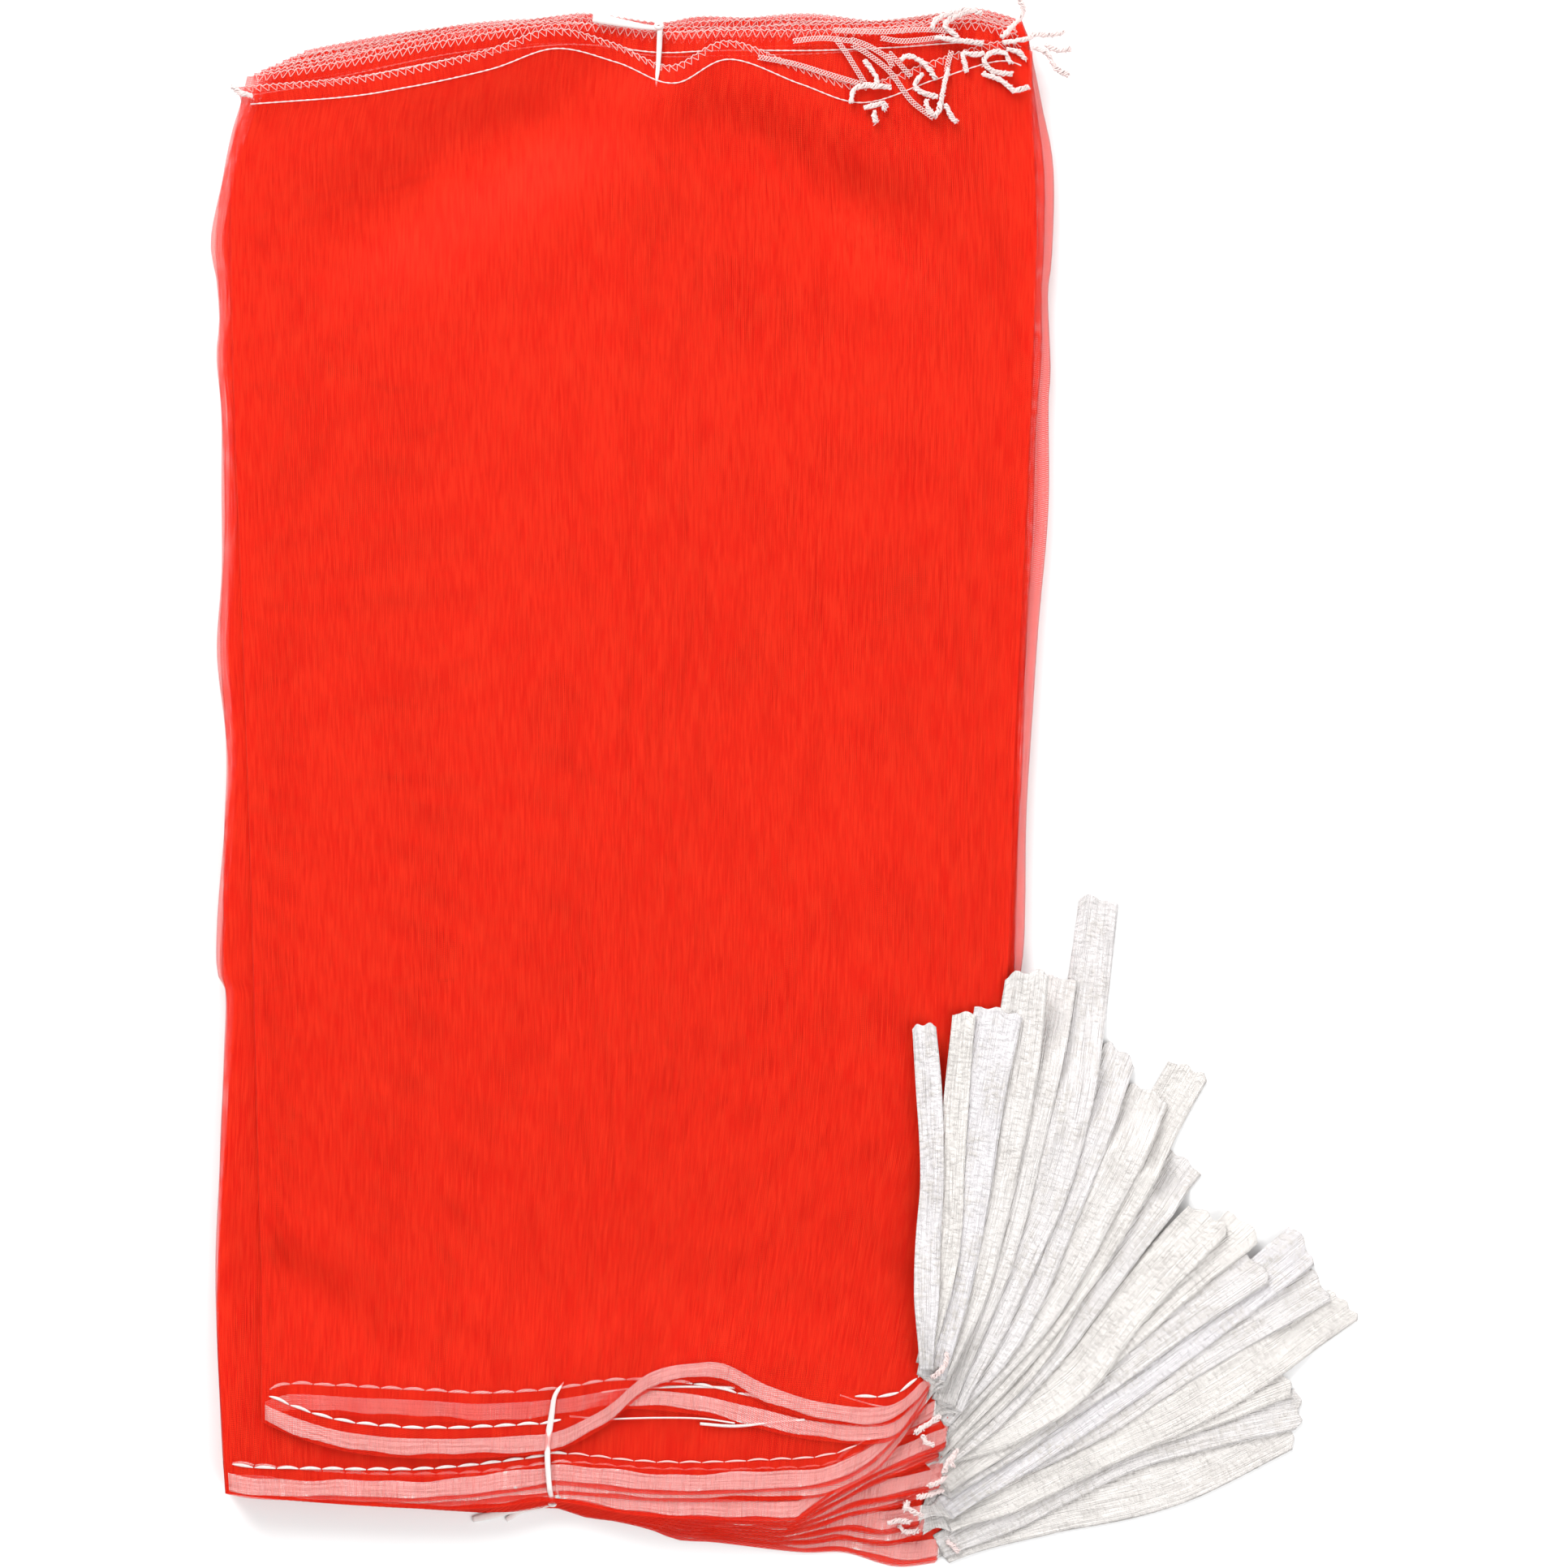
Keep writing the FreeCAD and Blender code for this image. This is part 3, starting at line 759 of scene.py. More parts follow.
def strip_mesh(name, upper, lower, cloth):
    """Closed thin strip from an upper and a lower grid of points in metres."""
    rows, columns = upper.shape[:2]
    ring = np.concatenate([upper, lower[:, ::-1]], axis=1)
    width = ring.shape[1]
    a = np.arange(rows - 1)[:, None] * width
    b = np.arange(width)[None, :]
    c = (b + 1) % width
    faces = np.stack([a + b, a + c, a + width + c, a + width + b], axis=-1).reshape(-1, 4).tolist()
    for row, flip in ((0, False), (rows - 1, True)):
        for k in range(columns - 1):
            quad = [row * width + k, row * width + k + 1]
            quad += [row * width + width - 2 - k, row * width + width - 1 - k]
            faces.append(quad[::-1] if not flip else quad)
    obj = new_object(name, ring.reshape(-1, 3) / MM, faces)
    ring_cloth = np.concatenate([cloth, cloth[:, ::-1]], axis=1)
    set_cloth_map(obj, ring_cloth.reshape(-1, 2))
    return obj


def set_tint(obj, value):
    attribute = obj.data.attributes.new("tint", "FLOAT", "POINT")
    attribute.data.foreach_set("value", [value] * len(obj.data.vertices))


def cut_tip(seed, t, s, width):
    """How far the tape's slanting, uneven cut end stands forward, across its width."""
    slant = seed.uniform(-0.12, 0.12) * width
    tip = smoothstep(t, 0.9, 1.0)[:, None]
    corner = -0.10 * width * smoothstep(np.abs(s), 0.30, 0.5)[None, :]
    wave = 0.05 * width * np.sin(s * seed.uniform(8, 16) + seed.uniform(0, 6))[None, :]
    return tip * (slant * 2 * s[None, :] + corner + wave)


def tape_relief(seed, t, s, length):
    """Curl, pleats, creases, a lapped edge and crinkles of a tape, in metres."""
    curl = seed.uniform(0.00010, 0.00035) * np.sin(t * seed.uniform(5, 11) + seed.uniform(0, 6))
    lift = curl[:, None] * (4 * s[None, :] ** 2 - 0.4)
    gathered = (1 - smoothstep(t, 0.02, 0.28))[:, None]
    pleat = 0.00017 * np.cos((s[None, :] - seed.uniform(-0.25, 0.25)) * 21) * gathered
    for _ in range(2):
        middle = seed.uniform(-0.34, 0.34) + 0.10 * np.sin(t * seed.uniform(2, 5) + seed.uniform(0, 6))
        crease = np.exp(-(((s[None, :] - middle[:, None]) / 0.045) ** 2))
        pleat = pleat + seed.choice([-0.00018, 0.00018]) * crease * smoothstep(t, 0, 0.2)[:, None]
    fold_side = seed.choice([-1, 1])
    lap = smoothstep(fold_side * s, 0.20, 0.24)[None, :]
    step = 0.00028 * (lap * mix(0.35, 1.0, smoothstep(t, 0.1, 0.6))[:, None])
    rough = seed.normal(0, 1, (len(t), len(s)))
    rough = (rough + np.roll(rough, 1, 1) + np.roll(rough, -1, 1)) / 3
    along = (t * length / MM)[:, None]
    ripple = np.sin(along * 2.1 + 3 * np.sin(s * 9 + along * 0.13) + seed.uniform(0, 6))
    ripple *= 0.00008 * (1 + np.sin(along * 0.21 + seed.uniform(0, 6)))
    return lift + pleat + step + ripple + 0.00009 * rough


def make_tail(index, front):
    """One free tail: a crinkled flat tape that widens out of the hem to its cut tip."""
    side = "front" if front else "back"
    name = f"tail_{index:02d}_{side}"
    route = np.array((TAIL_STARTS[index - 1], *TAIL_ROUTES[index - 1][0 if front else 1]))
    seed = np.random.default_rng(TAIL_SEED + 2 * index + front)
    route[0] += seed.uniform(*ROOT_SHIFT)
    shift = seed.uniform(-ROUTE_SHIFT, ROUTE_SHIFT, (len(route) - 2, 2))
    route[1:-1] += shift * (0.3 if index == 1 else 1.0)
    width = FOLDED_TAPE_WIDTH if index == 1 else TAPE_WIDTH * seed.uniform(0.94, 1.14)
    t = np.linspace(0, 1, TAPE_ROWS)
    opening = mix(ROOT_OPENING, 1.0, smoothstep(t, 0.0, seed.uniform(0.16, 0.38)))
    opening *= 1 + 0.05 * np.sin(t * seed.uniform(9, 14) + seed.uniform(0, 6))
    s = np.linspace(-0.5, 0.5, TAPE_COLUMNS)
    flat_line = nurbs_points(name, np.column_stack([route, 0 * route[:, 0]]))
    plan, heading, _ = along_line(flat_line, TAPE_ROWS)
    reach = s[None, :] * (width * opening)[:, None]
    heights = lay_tail(index, front, plan[:, None] + sideways(heading)[:, None] * reach[..., None])
    knots = np.interp(np.linspace(0, 1, len(route)), t, heights)
    line = nurbs_points(name, np.column_stack([route, knots]))
    even, heading, length = along_line(line, TAPE_ROWS)
    flat = sideways(heading)
    points = even[:, None, :] + flat[:, None, :] * reach[..., None]
    points[..., 2] += (heights - even[:, 2])[:, None]
    points += heading[:, None, :] * cut_tip(seed, t, s, width)[..., None]
    points[..., 2] += tape_relief(seed, t, s, length)
    upper = points.copy()
    lower = points.copy()
    upper[..., 2] += TAPE_HALF
    lower[..., 2] -= TAPE_HALF
    across = s[None, :] * width / MM + CLOTH_ACROSS * index
    along = (t * length / MM)[:, None] + CLOTH_ALONG * front
    cloth = np.stack(np.broadcast_arrays(across, along), axis=-1)
    obj = strip_mesh(name, upper, lower, cloth)
    tail_roots[index, front] = points[0] / MM
    set_tint(obj, float(seed.uniform(0, 1)) ** 1.5)
    obj.data.materials.append(TAPE)
    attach(obj, f"string_{index:02d}")
    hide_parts(f"drawstring_tails_{index:02d}")
    return obj


tail_roots = {}
for number in range(SACK_COUNT, 0, -1):
    for is_front in (False, True):
        make_tail(number, is_front)

for number in range(1, SACK_COUNT + 1):
    sack = make_sack(number, MESH)

# Drawstring tape inside the hems


def narrow_unevenly(grid, seed):
    """A grid of a tape's points, drawn in to an uneven width about a wandering middle."""
    t = np.arange(len(grid))
    wide, off = (
        sum(np.sin(t / size + seed.uniform(0, 6)) for size in (2.3, 5.1, 11.0)) / 3 for _ in range(2)
    )
    middle = grid.mean(axis=1, keepdims=True)
    across = grid[:, -1:] - grid[:, :1]
    narrow = (grid - middle) * (0.88 + 0.12 * wide)[:, None, None]
    return middle + narrow + across * 0.07 * off[:, None, None]


def make_hem_tape(index):
    """The part of a drawstring inside its hem: the front run and the back run, folded narrow."""
    seed = np.random.default_rng(HEM_TAPE_SEED + index)
    pieces = []
    for front in (False, True):
        u = np.linspace(0.006, 1.0, 190)
        distances = np.linspace(1.1, 7.4, TAPE_COLUMNS)
        grid = ply_surface(index, front, u, distances, 0.0).transpose(1, 0, 2)
        grid = narrow_unevenly(grid, seed)
        root = tail_roots[index, front]
        t = np.linspace(0, 1, 18)[1:, None, None]
        reach = mix(grid[-1:], root[None], t)
        reach[..., :2] += (reach.mean(axis=1, keepdims=True) - reach)[..., :2] * 0.4 * np.sin(np.pi * t)
        grid = np.concatenate([grid, reach])
        rows = len(grid)
        s = np.linspace(0, 1, TAPE_COLUMNS)
        bulge = tube_bulge(index, front)
        crinkle = seed.normal(0, 1, (rows, TAPE_COLUMNS))
        crinkle = (crinkle + np.roll(crinkle, 1, 1) + np.roll(crinkle, -1, 1)) / 3
        pleat = 0.10 * bulge * np.cos(s * 15 + seed.uniform(0, 6))[None, :]
        bunches = seed.normal(0, 1, (rows, 1))
        inside = np.where(np.arange(rows) < len(u), 1.0, 0.12)[:, None]
        grid[..., 2] += inside * (pleat + bulge * (0.08 * crinkle + 0.20 * bunches))
        upper, lower = grid.copy(), grid.copy()
        upper[..., 2] += 0.14
        lower[..., 2] = np.maximum(lower[..., 2] - 0.14, LOWEST)
        # Squeezed across the band, so that the tape's painted crinkle shade shows across the hem as
        # darker streaks between lighter ones
        travelled = np.linspace(0, 270, rows)[:, None] + CLOTH_ALONG * front
        wide = s[None, :] * 2.4 + CLOTH_ACROSS * index
        cloth = np.stack(np.broadcast_arrays(wide, 1.7 * travelled), axis=-1)
        pieces.append(strip_mesh(f"run_{index:02d}_{front}", upper * MM, lower * MM, cloth))
    obj = join_pieces(pieces, f"drawstring_tape_{index:02d}")
    set_tint(obj, 0.3)
    obj.data.materials.append(TAPE)
    # The tails' roots lie before this blend's end, so a pulled string leaves a gap there.
    exit_point = np.array([*sack_plan(index, True, np.array([1.0]), np.array([0.99]))[0, 0], 0.0]) * MM
    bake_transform(obj)
    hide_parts(f"drawstring_{index:02d}")
    return obj


def join_pieces(pieces, name):
    """One object from several, with their meshes joined."""
    bpy.ops.object.select_all(action="DESELECT")
    for piece in pieces:
        piece.select_set(True)
    bpy.context.view_layer.objects.active = pieces[0]
    bpy.ops.object.join()
    pieces[0].name = name
    return pieces[0]


for number in range(1, SACK_COUNT + 1):
    make_hem_tape(number)


# Threads
class ThreadMesh:
    """Collects tubes and stitches into one mesh, in millimetres."""

    def __init__(self):
        self.vertices = []
        self.faces = []
        self.tones = []
        self.count = 0

    def tube(self, line, radius, sides=6, flatten=1.0, tone=0.0):
        """Tube along a line, with a radius at each point, closed at both ends. Tone 1 is pinkest."""
        line = np.asarray(line, float)
        radius = np.broadcast_to(np.asarray(radius, float), (len(line),))
        heading = np.gradient(line, axis=0)
        heading /= np.maximum(np.linalg.norm(heading, axis=1), 1e-9)[:, None]
        side = np.cross(heading, (0.0, 0.0, 1.0))
        side /= np.maximum(np.linalg.norm(side, axis=1), 1e-6)[:, None]
        top = np.cross(side, heading)
        angle = np.arange(sides) * 2 * math.pi / sides
        ring = side[:, None] * np.cos(angle)[None, :, None]
        ring = ring + top[:, None] * np.sin(angle)[None, :, None] * flatten
        points = line[:, None] + ring * radius[:, None, None]
        a = np.arange(len(line) - 1)[:, None] * sides
        b = np.arange(sides)[None, :]
        c = (b + 1) % sides
        quads = np.stack([a + b, a + c, a + sides + c, a + sides + b], axis=-1).reshape(-1, 4)
        self.faces.extend((quads + self.count).tolist())
        self.faces.append([self.count + k for k in range(sides)][::-1])
        last = self.count + (len(line) - 1) * sides
        self.faces.append([last + k for k in range(sides)])
        self.vertices.append(points.reshape(-1, 3))
        self.tones.extend([tone] * (len(line) * sides))
        self.count += len(line) * sides

    def build(self, name, slot, *nodes):
        obj = new_object(name, np.concatenate(self.vertices), self.faces)
        attribute = obj.data.attributes.new("tone", "FLOAT", "POINT")
        attribute.data.foreach_set("value", self.tones)
        obj.data.materials.append(THREAD)
        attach(obj, "bundle")
        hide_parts(*nodes)
        return obj


STITCH_PITCH = 7.8
# Where the top hem rolls over its own stitches, and the threads seen below that roll
ROLLED_HEM = (-27.0, 74.0)
LOOSE_THREADS = (
    (((-10, -207.8), (2, -206.3), (18, -205.6), (36, -206.0)), 0.42),
    (((-21, -216.3), (-8, -216.9), (8, -216.4), (24, -216.6), (36, -218.2)), 0.30),
    (((24, -218.4), (36, -219.2), (48, -218.0), (60, -217.0)), 0.52),
    (((72, -208.6), (84, -212.0), (95, -213.4)), 0.26),
)


# Thread ends left where each hem's stitches stop, in plan, by sack
HEM_TAILS = (
    (((108.9, -193.8), (108.1, -198.2), (103.9, -202.2)),),
    (
        ((106.7, -215.6), (102.5, -218.4), (98.0, -221.5)),
        ((100.5, -222.3), (101.9, -224.8), (104.4, -225.7)),
    ),
    (
        ((112.8, -227.4), (110.6, -230.7), (111.2, -233.5)),
        ((111.7, -229.6), (108.9, -232.4), (108.1, -235.5)),
    ),
    (((108.9, -236.9), (106.4, -239.1), (102.8, -240.5)),),
    (((107.8, -241.9), (103.9, -243.6), (98.8, -244.7)),),
    (((94.9, -247.8), (97.2, -249.8), (100.5, -251.2)), ((96.0, -246.4), (94.6, -249.2))),
    (((88.8, -254.2), (92.7, -253.4), (96.6, -253.7)),),
    (((92.7, -255.4), (95.2, -257.6), (99.4, -257.0)),),
    (((98.3, -243.0), (100.5, -245.8), (103.3, -244.7)),),
    (((109.5, -261.5), (111.7, -263.2), (113.4, -265.2)),),
)


def ply_line(index, front, distance, count, above):
    """Line across a ply at one distance from its mouth fold, a little above the fabric."""
    u = np.linspace(0.012, 0.985, count)
    line = ply_surface(index, front, u, np.array([distance]), 0.0)[0]
    line[:, 2] += above
    return line


def resample(line, spacing):
    """Points along a line at about an even spacing."""
    length = arc_length(line)
    wanted = np.linspace(0, length[-1], max(2, round(length[-1] / spacing) + 1))
    return read_line(line, length, wanted)


def make_hem_thread(index):
    """Chain stitch that closes the hem on each ply, and its loose ends beside the tape's exit."""
    seed = np.random.default_rng(HEM_THREAD_SEED + index)
    threads = ThreadMesh()
    for front in (True, False):
        line = ply_line(index, front, STITCH_LINE, 400, 0.22)
        knots = resample(line, STITCH_PITCH)
        fine = resample(line, 0.5)
        place = arc_length(fine)
        for k in range(len(knots) - 1):
            span = place[-1] / (len(knots) - 1)
            t = np.linspace(0.02, 0.96, 8)
            run = read_line(fine, place, (k + t) * span)
            if index == 1 and front and ROLLED_HEM[0] < run[0, 0] < ROLLED_HEM[1]:
                continue
            bow = np.sin(np.pi * t)
            run[:, 1] += (0.45 + seed.uniform(-0.15, 0.15)) * bow - 0.2
            run[:, 2] += 0.18 * bow
            faint = 0.5 if index == 2 and run[0, 0] > ROLLED_HEM[0] else 1.0
            threads.tube(run, 0.12 + 0.42 * faint * bow**0.8, 8, 0.45, 1 - faint)
    if index == 1:
        for plan, thickness in LOOSE_THREADS:
            _, line = dense(plan, 16)
            height = ply_height(line[:, 0], line[:, 1], PLIES - 3) + 0.9
            threads.tube(np.column_stack([line, height]), thickness, 6, 0.7)
    for points in HEM_TAILS[index - 1]:
        x, y = np.array(points).T
        height = ply_height(x, y, ply_number(index, True)).max() + 1.3
        add_thread_tail(threads, points, seed, height, 1.05)
    threads.build(f"hem_stitches_{index:02d}", "white_thread", f"hem_thread_{index:02d}")


def add_thread_tail(threads, points, seed, height, size):
    """Twisted threads with a fluffy end, lying on what is below them."""
    _, line = dense(points, 10)
    row, column = cells_under(line * MM)
    line = np.column_stack([line, np.maximum(height, fan_heights[row, column] + 0.6)])
    line = resample(line, 0.6)
    t = np.linspace(0, 1, len(line))
    flat = sideways(np.gradient(line, axis=0))
    for strand in range(4):
        turn = 1.1 * np.arange(len(line)) + strand * 1.6
        wide = 0.46 * size * (1 + 0.5 * t + 0.25 * np.sin(9 * t + seed.uniform(0, 6)))
        shifted = line + flat * (wide * np.sin(turn))[:, None]
        shifted[:, 2] += 0.35 * size * np.cos(turn)
        radius = size * (0.38 - 0.10 * t) * seed.uniform(0.75, 1.25, len(line))
        threads.tube(shifted + seed.normal(0, 0.16, line.shape), radius, 5, 1.0, 0.06)
    for _ in range(int(26 * size)):
        k = seed.integers(len(line) // 4, len(line))
        reach = np.clip(seed.normal(0, 0.65, 3), -1.2, 1.2) * (1.0, 1.0, 0.25)
        middle = line[k] + 0.6 * reach + seed.normal(0, 0.25, 3) * (1, 1, 0.4)
        threads.tube(np.array([line[k], middle, line[k] + reach]), (0.26, 0.20, 0.08), 4, 1.0, 0.1)


def add_chain(threads, points, height):
    """Chain of loops made by the overlock stitch where it runs on past the fabric."""
    _, line = dense(points, 12)
    line = resample(np.column_stack([line, np.full(len(line), height)]), 0.35)
    flat = sideways(np.gradient(line, axis=0))
    turn = np.arange(len(line)) * 0.35 * 2 * math.pi / CHAIN_LOOP
    for phase in (0.0, 2.1, 4.2):
        swing = CHAIN_WIDTH / 2 * np.sin(turn + phase)
        strand = line + flat * swing[:, None]
        strand[:, 2] += 0.25 * np.cos(turn + phase)
        threads.tube(strand, 0.17, 5, 1.0, 0.25)


def make_seam_thread(index):
    """Overlock along the closed end: a needle line and looper threads round the edge."""
    threads = ThreadMesh()
    needle = resample(ply_line(index, True, SACK_LENGTH - SAFETY_LINE, 500, 0.2), 1.1)
    phase = np.arange(len(needle)) * 1.1
    needle[:, 2] += 0.07 * np.sin(phase * 2.3)
    threads.tube(needle, 0.22 + 0.09 * np.sin(phase * 2.3), 6, 0.8, 0.12)
    for front in (True, False):
        outer = resample(ply_line(index, front, SACK_LENGTH, 500, 0.16), 1.4)
        inner = resample(ply_line(index, front, SACK_LENGTH - 2.7, 500, 0.16), 1.4)
        count = min(len(outer), len(inner))
        zigzag = outer[:count].copy()
        zigzag[1::2] = inner[:count][1::2]
        threads.tube(resample(zigzag, 0.75), 0.13, 5, 0.8, 0.55)
        edge = resample(outer, 0.7)
        edge[:, 1] += 0.35 * np.sin(np.arange(len(edge)) * 1.9)
        threads.tube(edge, 0.15, 5, 0.8, 0.35)
    for number, points in enumerate(SEAM_TAILS.get(index, ())):
        x, y = np.array(points).T
        height = ply_height(x, y, PLIES - 1).max() + 1.3
        seed = np.random.default_rng(THREAD_TAIL_SEED + 10 * index + number)
        add_thread_tail(threads, points, seed, height, 1.1)
    for points in SEAM_CHAINS.get(index, ()):
        x, y = np.array(points).T
        add_chain(threads, points, ply_height(x, y, PLIES - 1).max() + 0.7)
    threads.build(f"seam_stitches_{index:02d}", "white_thread", f"seam_thread_{index:02d}")


CHAIN_WIDTH = 1.7
CHAIN_LOOP = 3.0
# Thread tails left at the seams' right ends, in plan, by sack
SEAM_TAILS = {
    1: (
        ((76.2, 236.0), (76.7, 240.5), (80.6, 242.2), (85.1, 241.9), (89.9, 241.6)),
        ((84.8, 241.9), (84.6, 245.0), (80.6, 250.9)),
        ((80.6, 234.6), (87.1, 236.0), (87.4, 233.8)),
        ((84.3, 233.5), (84.0, 231.8), (84.6, 229.6)),
        ((-130.0, 238.6), (-134.0, 239.6), (-137.2, 242.0)),
    ),
    2: (
        ((93.0, 250.9), (95.5, 252.3), (99.4, 250.9), (103.0, 247.8), (105.0, 244.4)),
        ((109.5, 247.8), (107.8, 241.4), (106.4, 234.1), (104.4, 231.3)),
        ((101.9, 237.4), (102.5, 234.1), (104.4, 232.1)),
    ),
    3: (
        ((100.5, 246.4), (98.0, 241.9), (101.6, 239.4), (105.8, 238.3)),
        ((108.4, 236.0), (110.3, 232.1), (112.3, 229.6)),
        ((114.2, 253.4), (114.8, 250.3), (115.9, 247.0)),
    ),
    4: (
        ((103.9, 261.8), (105.8, 265.2), (114.8, 268.2), (121.2, 267.1)),
        ((114.8, 253.4), (118.7, 252.8), (121.8, 253.4)),
        ((121.2, 246.4), (127.7, 243.9), (132.2, 240.5), (137.2, 241.9)),
    ),
    5: (
        ((112.8, 258.7), (108.4, 262.6), (110.3, 265.2), (114.8, 267.1), (118.7, 268.2)),
        ((130.8, 249.8), (128.8, 253.4), (124.3, 253.4), (121.8, 250.3), (125.2, 247.0), (131.6, 246.1)),
    ),
    6: (
        ((127.7, 258.7), (131.6, 262.6), (134.7, 266.3), (135.0, 269.6), (133.6, 271.6)),
        ((128.2, 257.0), (137.2, 258.4), (138.6, 259.8), (145.6, 259.6), (149.5, 260.7)),
    ),
    7: (
        ((105.0, 258.7), (111.4, 257.9), (121.2, 256.8)),
        ((138.6, 255.4), (143.1, 253.4), (147.0, 247.8), (150.9, 245.8)),
    ),
    8: (
        ((143.1, 256.2), (147.0, 254.2), (151.5, 254.8)),
        ((129.6, 254.8), (133.8, 253.7), (135.8, 251.4)),
    ),
}
# Chains of loops that run from the seams to those tails
SEAM_CHAINS = {
    1: (
        ((70.8, 258.2), (74.2, 253.7), (77.0, 249.2), (80.9, 242.8)),
        ((44.0, 252.0), (56.0, 249.8), (68.0, 246.2), (80.0, 242.6)),
    ),
    2: (
        ((76.4, 256.5), (83.4, 252.0), (89.9, 246.4), (96.6, 237.2), (104.4, 231.0)),
        ((75.9, 258.2), (82.0, 255.9), (88.2, 252.0), (90.4, 248.6)),
        ((56.0, 257.6), (66.0, 258.6), (76.4, 257.6)),
    ),
    3: (
        ((89.0, 253.7), (92.7, 249.8), (96.6, 245.3)),
        ((110.6, 254.2), (109.5, 250.3), (108.9, 247.0)),
    ),
    4: (((86.2, 258.7), (93.2, 257.6), (101.6, 258.2), (108.6, 259.3)),),
    5: (((70.0, 261.4), (86.0, 260.8), (100.0, 261.6), (112.0, 261.0)),),
}


for number in range(1, SACK_COUNT + 1):
    make_hem_thread(number)
    make_seam_thread(number)

# Ties


def tie_strip(name, plan, widths, heights):
    """Flat plastic strip along a line in plan. Each height is a share of the pile's top, and a rise."""
    _, line = dense(plan, 12)
    t = np.linspace(0, 1, len(line))
    width = np.interp(t, *np.array(widths).T)
    at, share, rise = np.array(heights).T
    top = ply_height(line[:, 0], line[:, 1], PLIES - 1)
    height = top * np.interp(t, at, share) + np.interp(t, at, rise)
    centre = np.column_stack([line, height])
    side = sideways(np.gradient(centre, axis=0))
    s = np.linspace(-0.5, 0.5, 5)
    grid = centre[:, None] + side[:, None] * (s[None, :] * width[:, None])[..., None]
    grid[..., 2] -= 0.35 * (2 * s[None, :]) ** 2
    upper, lower = grid.copy(), grid.copy()
    upper[..., 2] += 0.2
    lower[..., 2] -= 0.2
    cloth = np.stack(np.broadcast_arrays(s[None, :], t[:, None]), axis=-1)
    return strip_mesh(name, upper * MM, lower * MM, cloth)


def tie_knot(name, centre, radius):
    """Small knot: two turns of the strip pulled tight round the pile's edge."""
    turn = np.linspace(0, 4 * math.pi, 60)
    spread = radius * (1 + 0.18 * np.sin(turn * 1.5))
    line = np.stack([spread * np.cos(turn), 0.8 * spread * np.sin(turn), 0.12 * turn - 0.5], axis=-1)
    knot = ThreadMesh()
    knot.tube(np.asarray(centre) + line, 0.62, 8, 0.8)
    return new_object(name, np.concatenate(knot.vertices), knot.faces)


def make_tie(name, strips, knot_centre, knot_radius):
    pieces = [tie_strip(f"{name}_{k}", *strip) for k, strip in enumerate(strips)]
    pieces.append(tie_knot(f"{name}_knot", knot_centre, knot_radius))
    obj = join_pieces(pieces, f"{name}_strip")
    obj.data.materials.append(PLASTIC)
    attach(obj, "bundle")
    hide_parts(name)


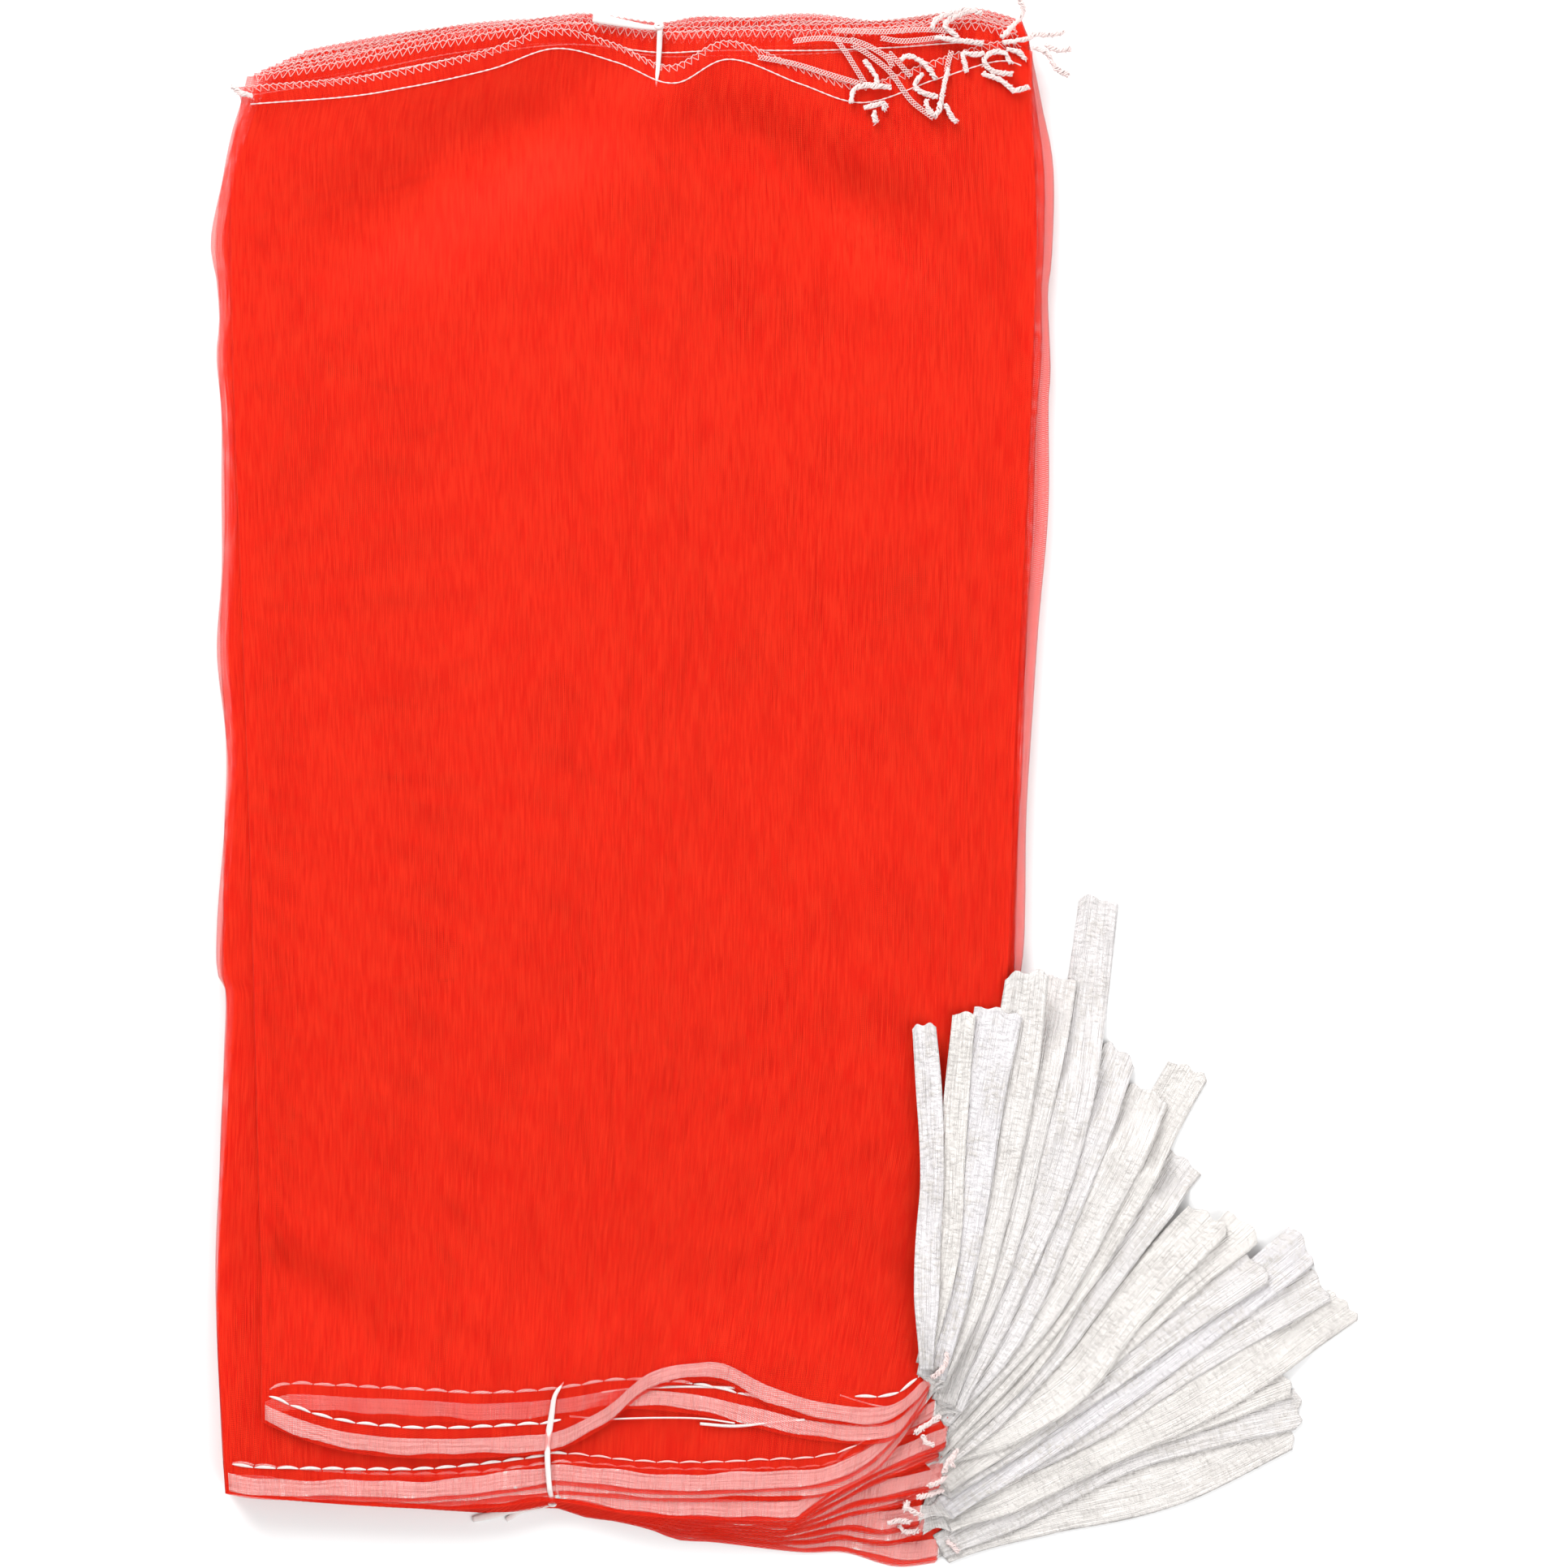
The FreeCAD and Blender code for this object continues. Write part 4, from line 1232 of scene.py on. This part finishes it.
make_tie(
    "tie_top",
    (
        (
            ((8.7, 242.6), (9.4, 250), (9.8, 257), (10.0, 262.6), (10.1, 264.4)),
            ((0, 0.3), (0.15, 1.4), (0.5, 1.9), (0.9, 1.8), (1, 1.6)),
            ((0, 1, -1.0), (0.1, 1, 0.4), (0.85, 1, 0.6), (1, 0.35, 0.2)),
        ),
        (
            ((9.6, 262.9), (4, 263.4), (-4, 264.6), (-13, 266.0)),
            ((0, 1.6), (0.3, 1.8), (0.9, 3.3), (1, 3.1)),
            ((0, 1, 0.8), (0.3, 1, 0.9), (1, 1, 0.7)),
        ),
    ),
    (9.9, 262.8, 13.6),
    1.0,
)
make_tie(
    "tie_bottom",
    (
        (
            ((-23.0, -204.4), (-26, -209), (-27.2, -216), (-28.6, -226), (-28.4, -236), (-27.2, -248)),
            ((0, 0.3), (0.12, 1.3), (0.5, 2.2), (1, 1.6)),
            ((0, 1, -1.0), (0.08, 1, 0.5), (0.9, 1, 0.6), (1, 0.5, 0.0)),
        ),
        (
            ((-27.5, -248), (-35, -249.6), (-44, -251.6), (-55.5, -254.2)),
            ((0, 1.3), (0.4, 1.6), (0.9, 2.6), (1, 2.0)),
            ((0, 0.3, 0.6), (0.4, 0.1, 0.7), (1, 0, 0.7)),
        ),
        (
            ((-27.5, -248.6), (-33, -250), (-39, -251.4), (-43.8, -254.4)),
            ((0, 1.2), (0.4, 1.5), (0.9, 2.0), (1, 1.6)),
            ((0, 0.2, 0.6), (0.4, 0.05, 0.7), (1, 0, 0.7)),
        ),
    ),
    (-27.3, -247.6, 6.0),
    0.8,
)

# Floor and light
FLOOR = 4000


def make_floor():
    """Plain pale floor."""
    corners = [(-FLOOR, -FLOOR, 0), (FLOOR, -FLOOR, 0), (FLOOR, FLOOR, 0), (-FLOOR, FLOOR, 0)]
    obj = new_object("floor", corners, [(0, 1, 2, 3)])
    material, tree, shader = start_material("pale_floor")
    place = node(tree, "ShaderNodeTexCoord")
    speckle = stretched_noise(tree, place.outputs["Object"], 40, 2)
    colour = blend_colours(tree, speckle, (0.95, 0.95, 0.95), (0.98, 0.98, 0.98))
    tree.links.new(colour, shader.inputs["Base Color"])
    shader.inputs["Roughness"].default_value = 0.9
    obj.data.materials.append(material)


def area_light(name, place, target, size, power):
    data = bpy.data.lights.new(name, "AREA")
    data.shape = "RECTANGLE"
    data.size, data.size_y = size
    data.energy = power
    obj = add_object(name, data)
    obj.location = place
    obj.rotation_euler = (Vector(target) - Vector(place)).to_track_quat("-Z", "Y").to_euler()


make_floor()
area_light("key", (-0.75, 1.7, 1.25), (0.0, 0.0, 0.0), (1.4, 1.4), 61)
area_light("fill", (1.3, -0.9, 1.6), (0.0, 0.0, 0.0), (2.0, 2.0), 30)
world = bpy.data.worlds.new("studio")
bpy.context.scene.world = world
world.use_nodes = True
world.node_tree.nodes["Background"].inputs["Color"].default_value = (1, 1, 1, 1)
world.node_tree.nodes["Background"].inputs["Strength"].default_value = 0.57
bpy.context.scene.view_settings.view_transform = "Standard"
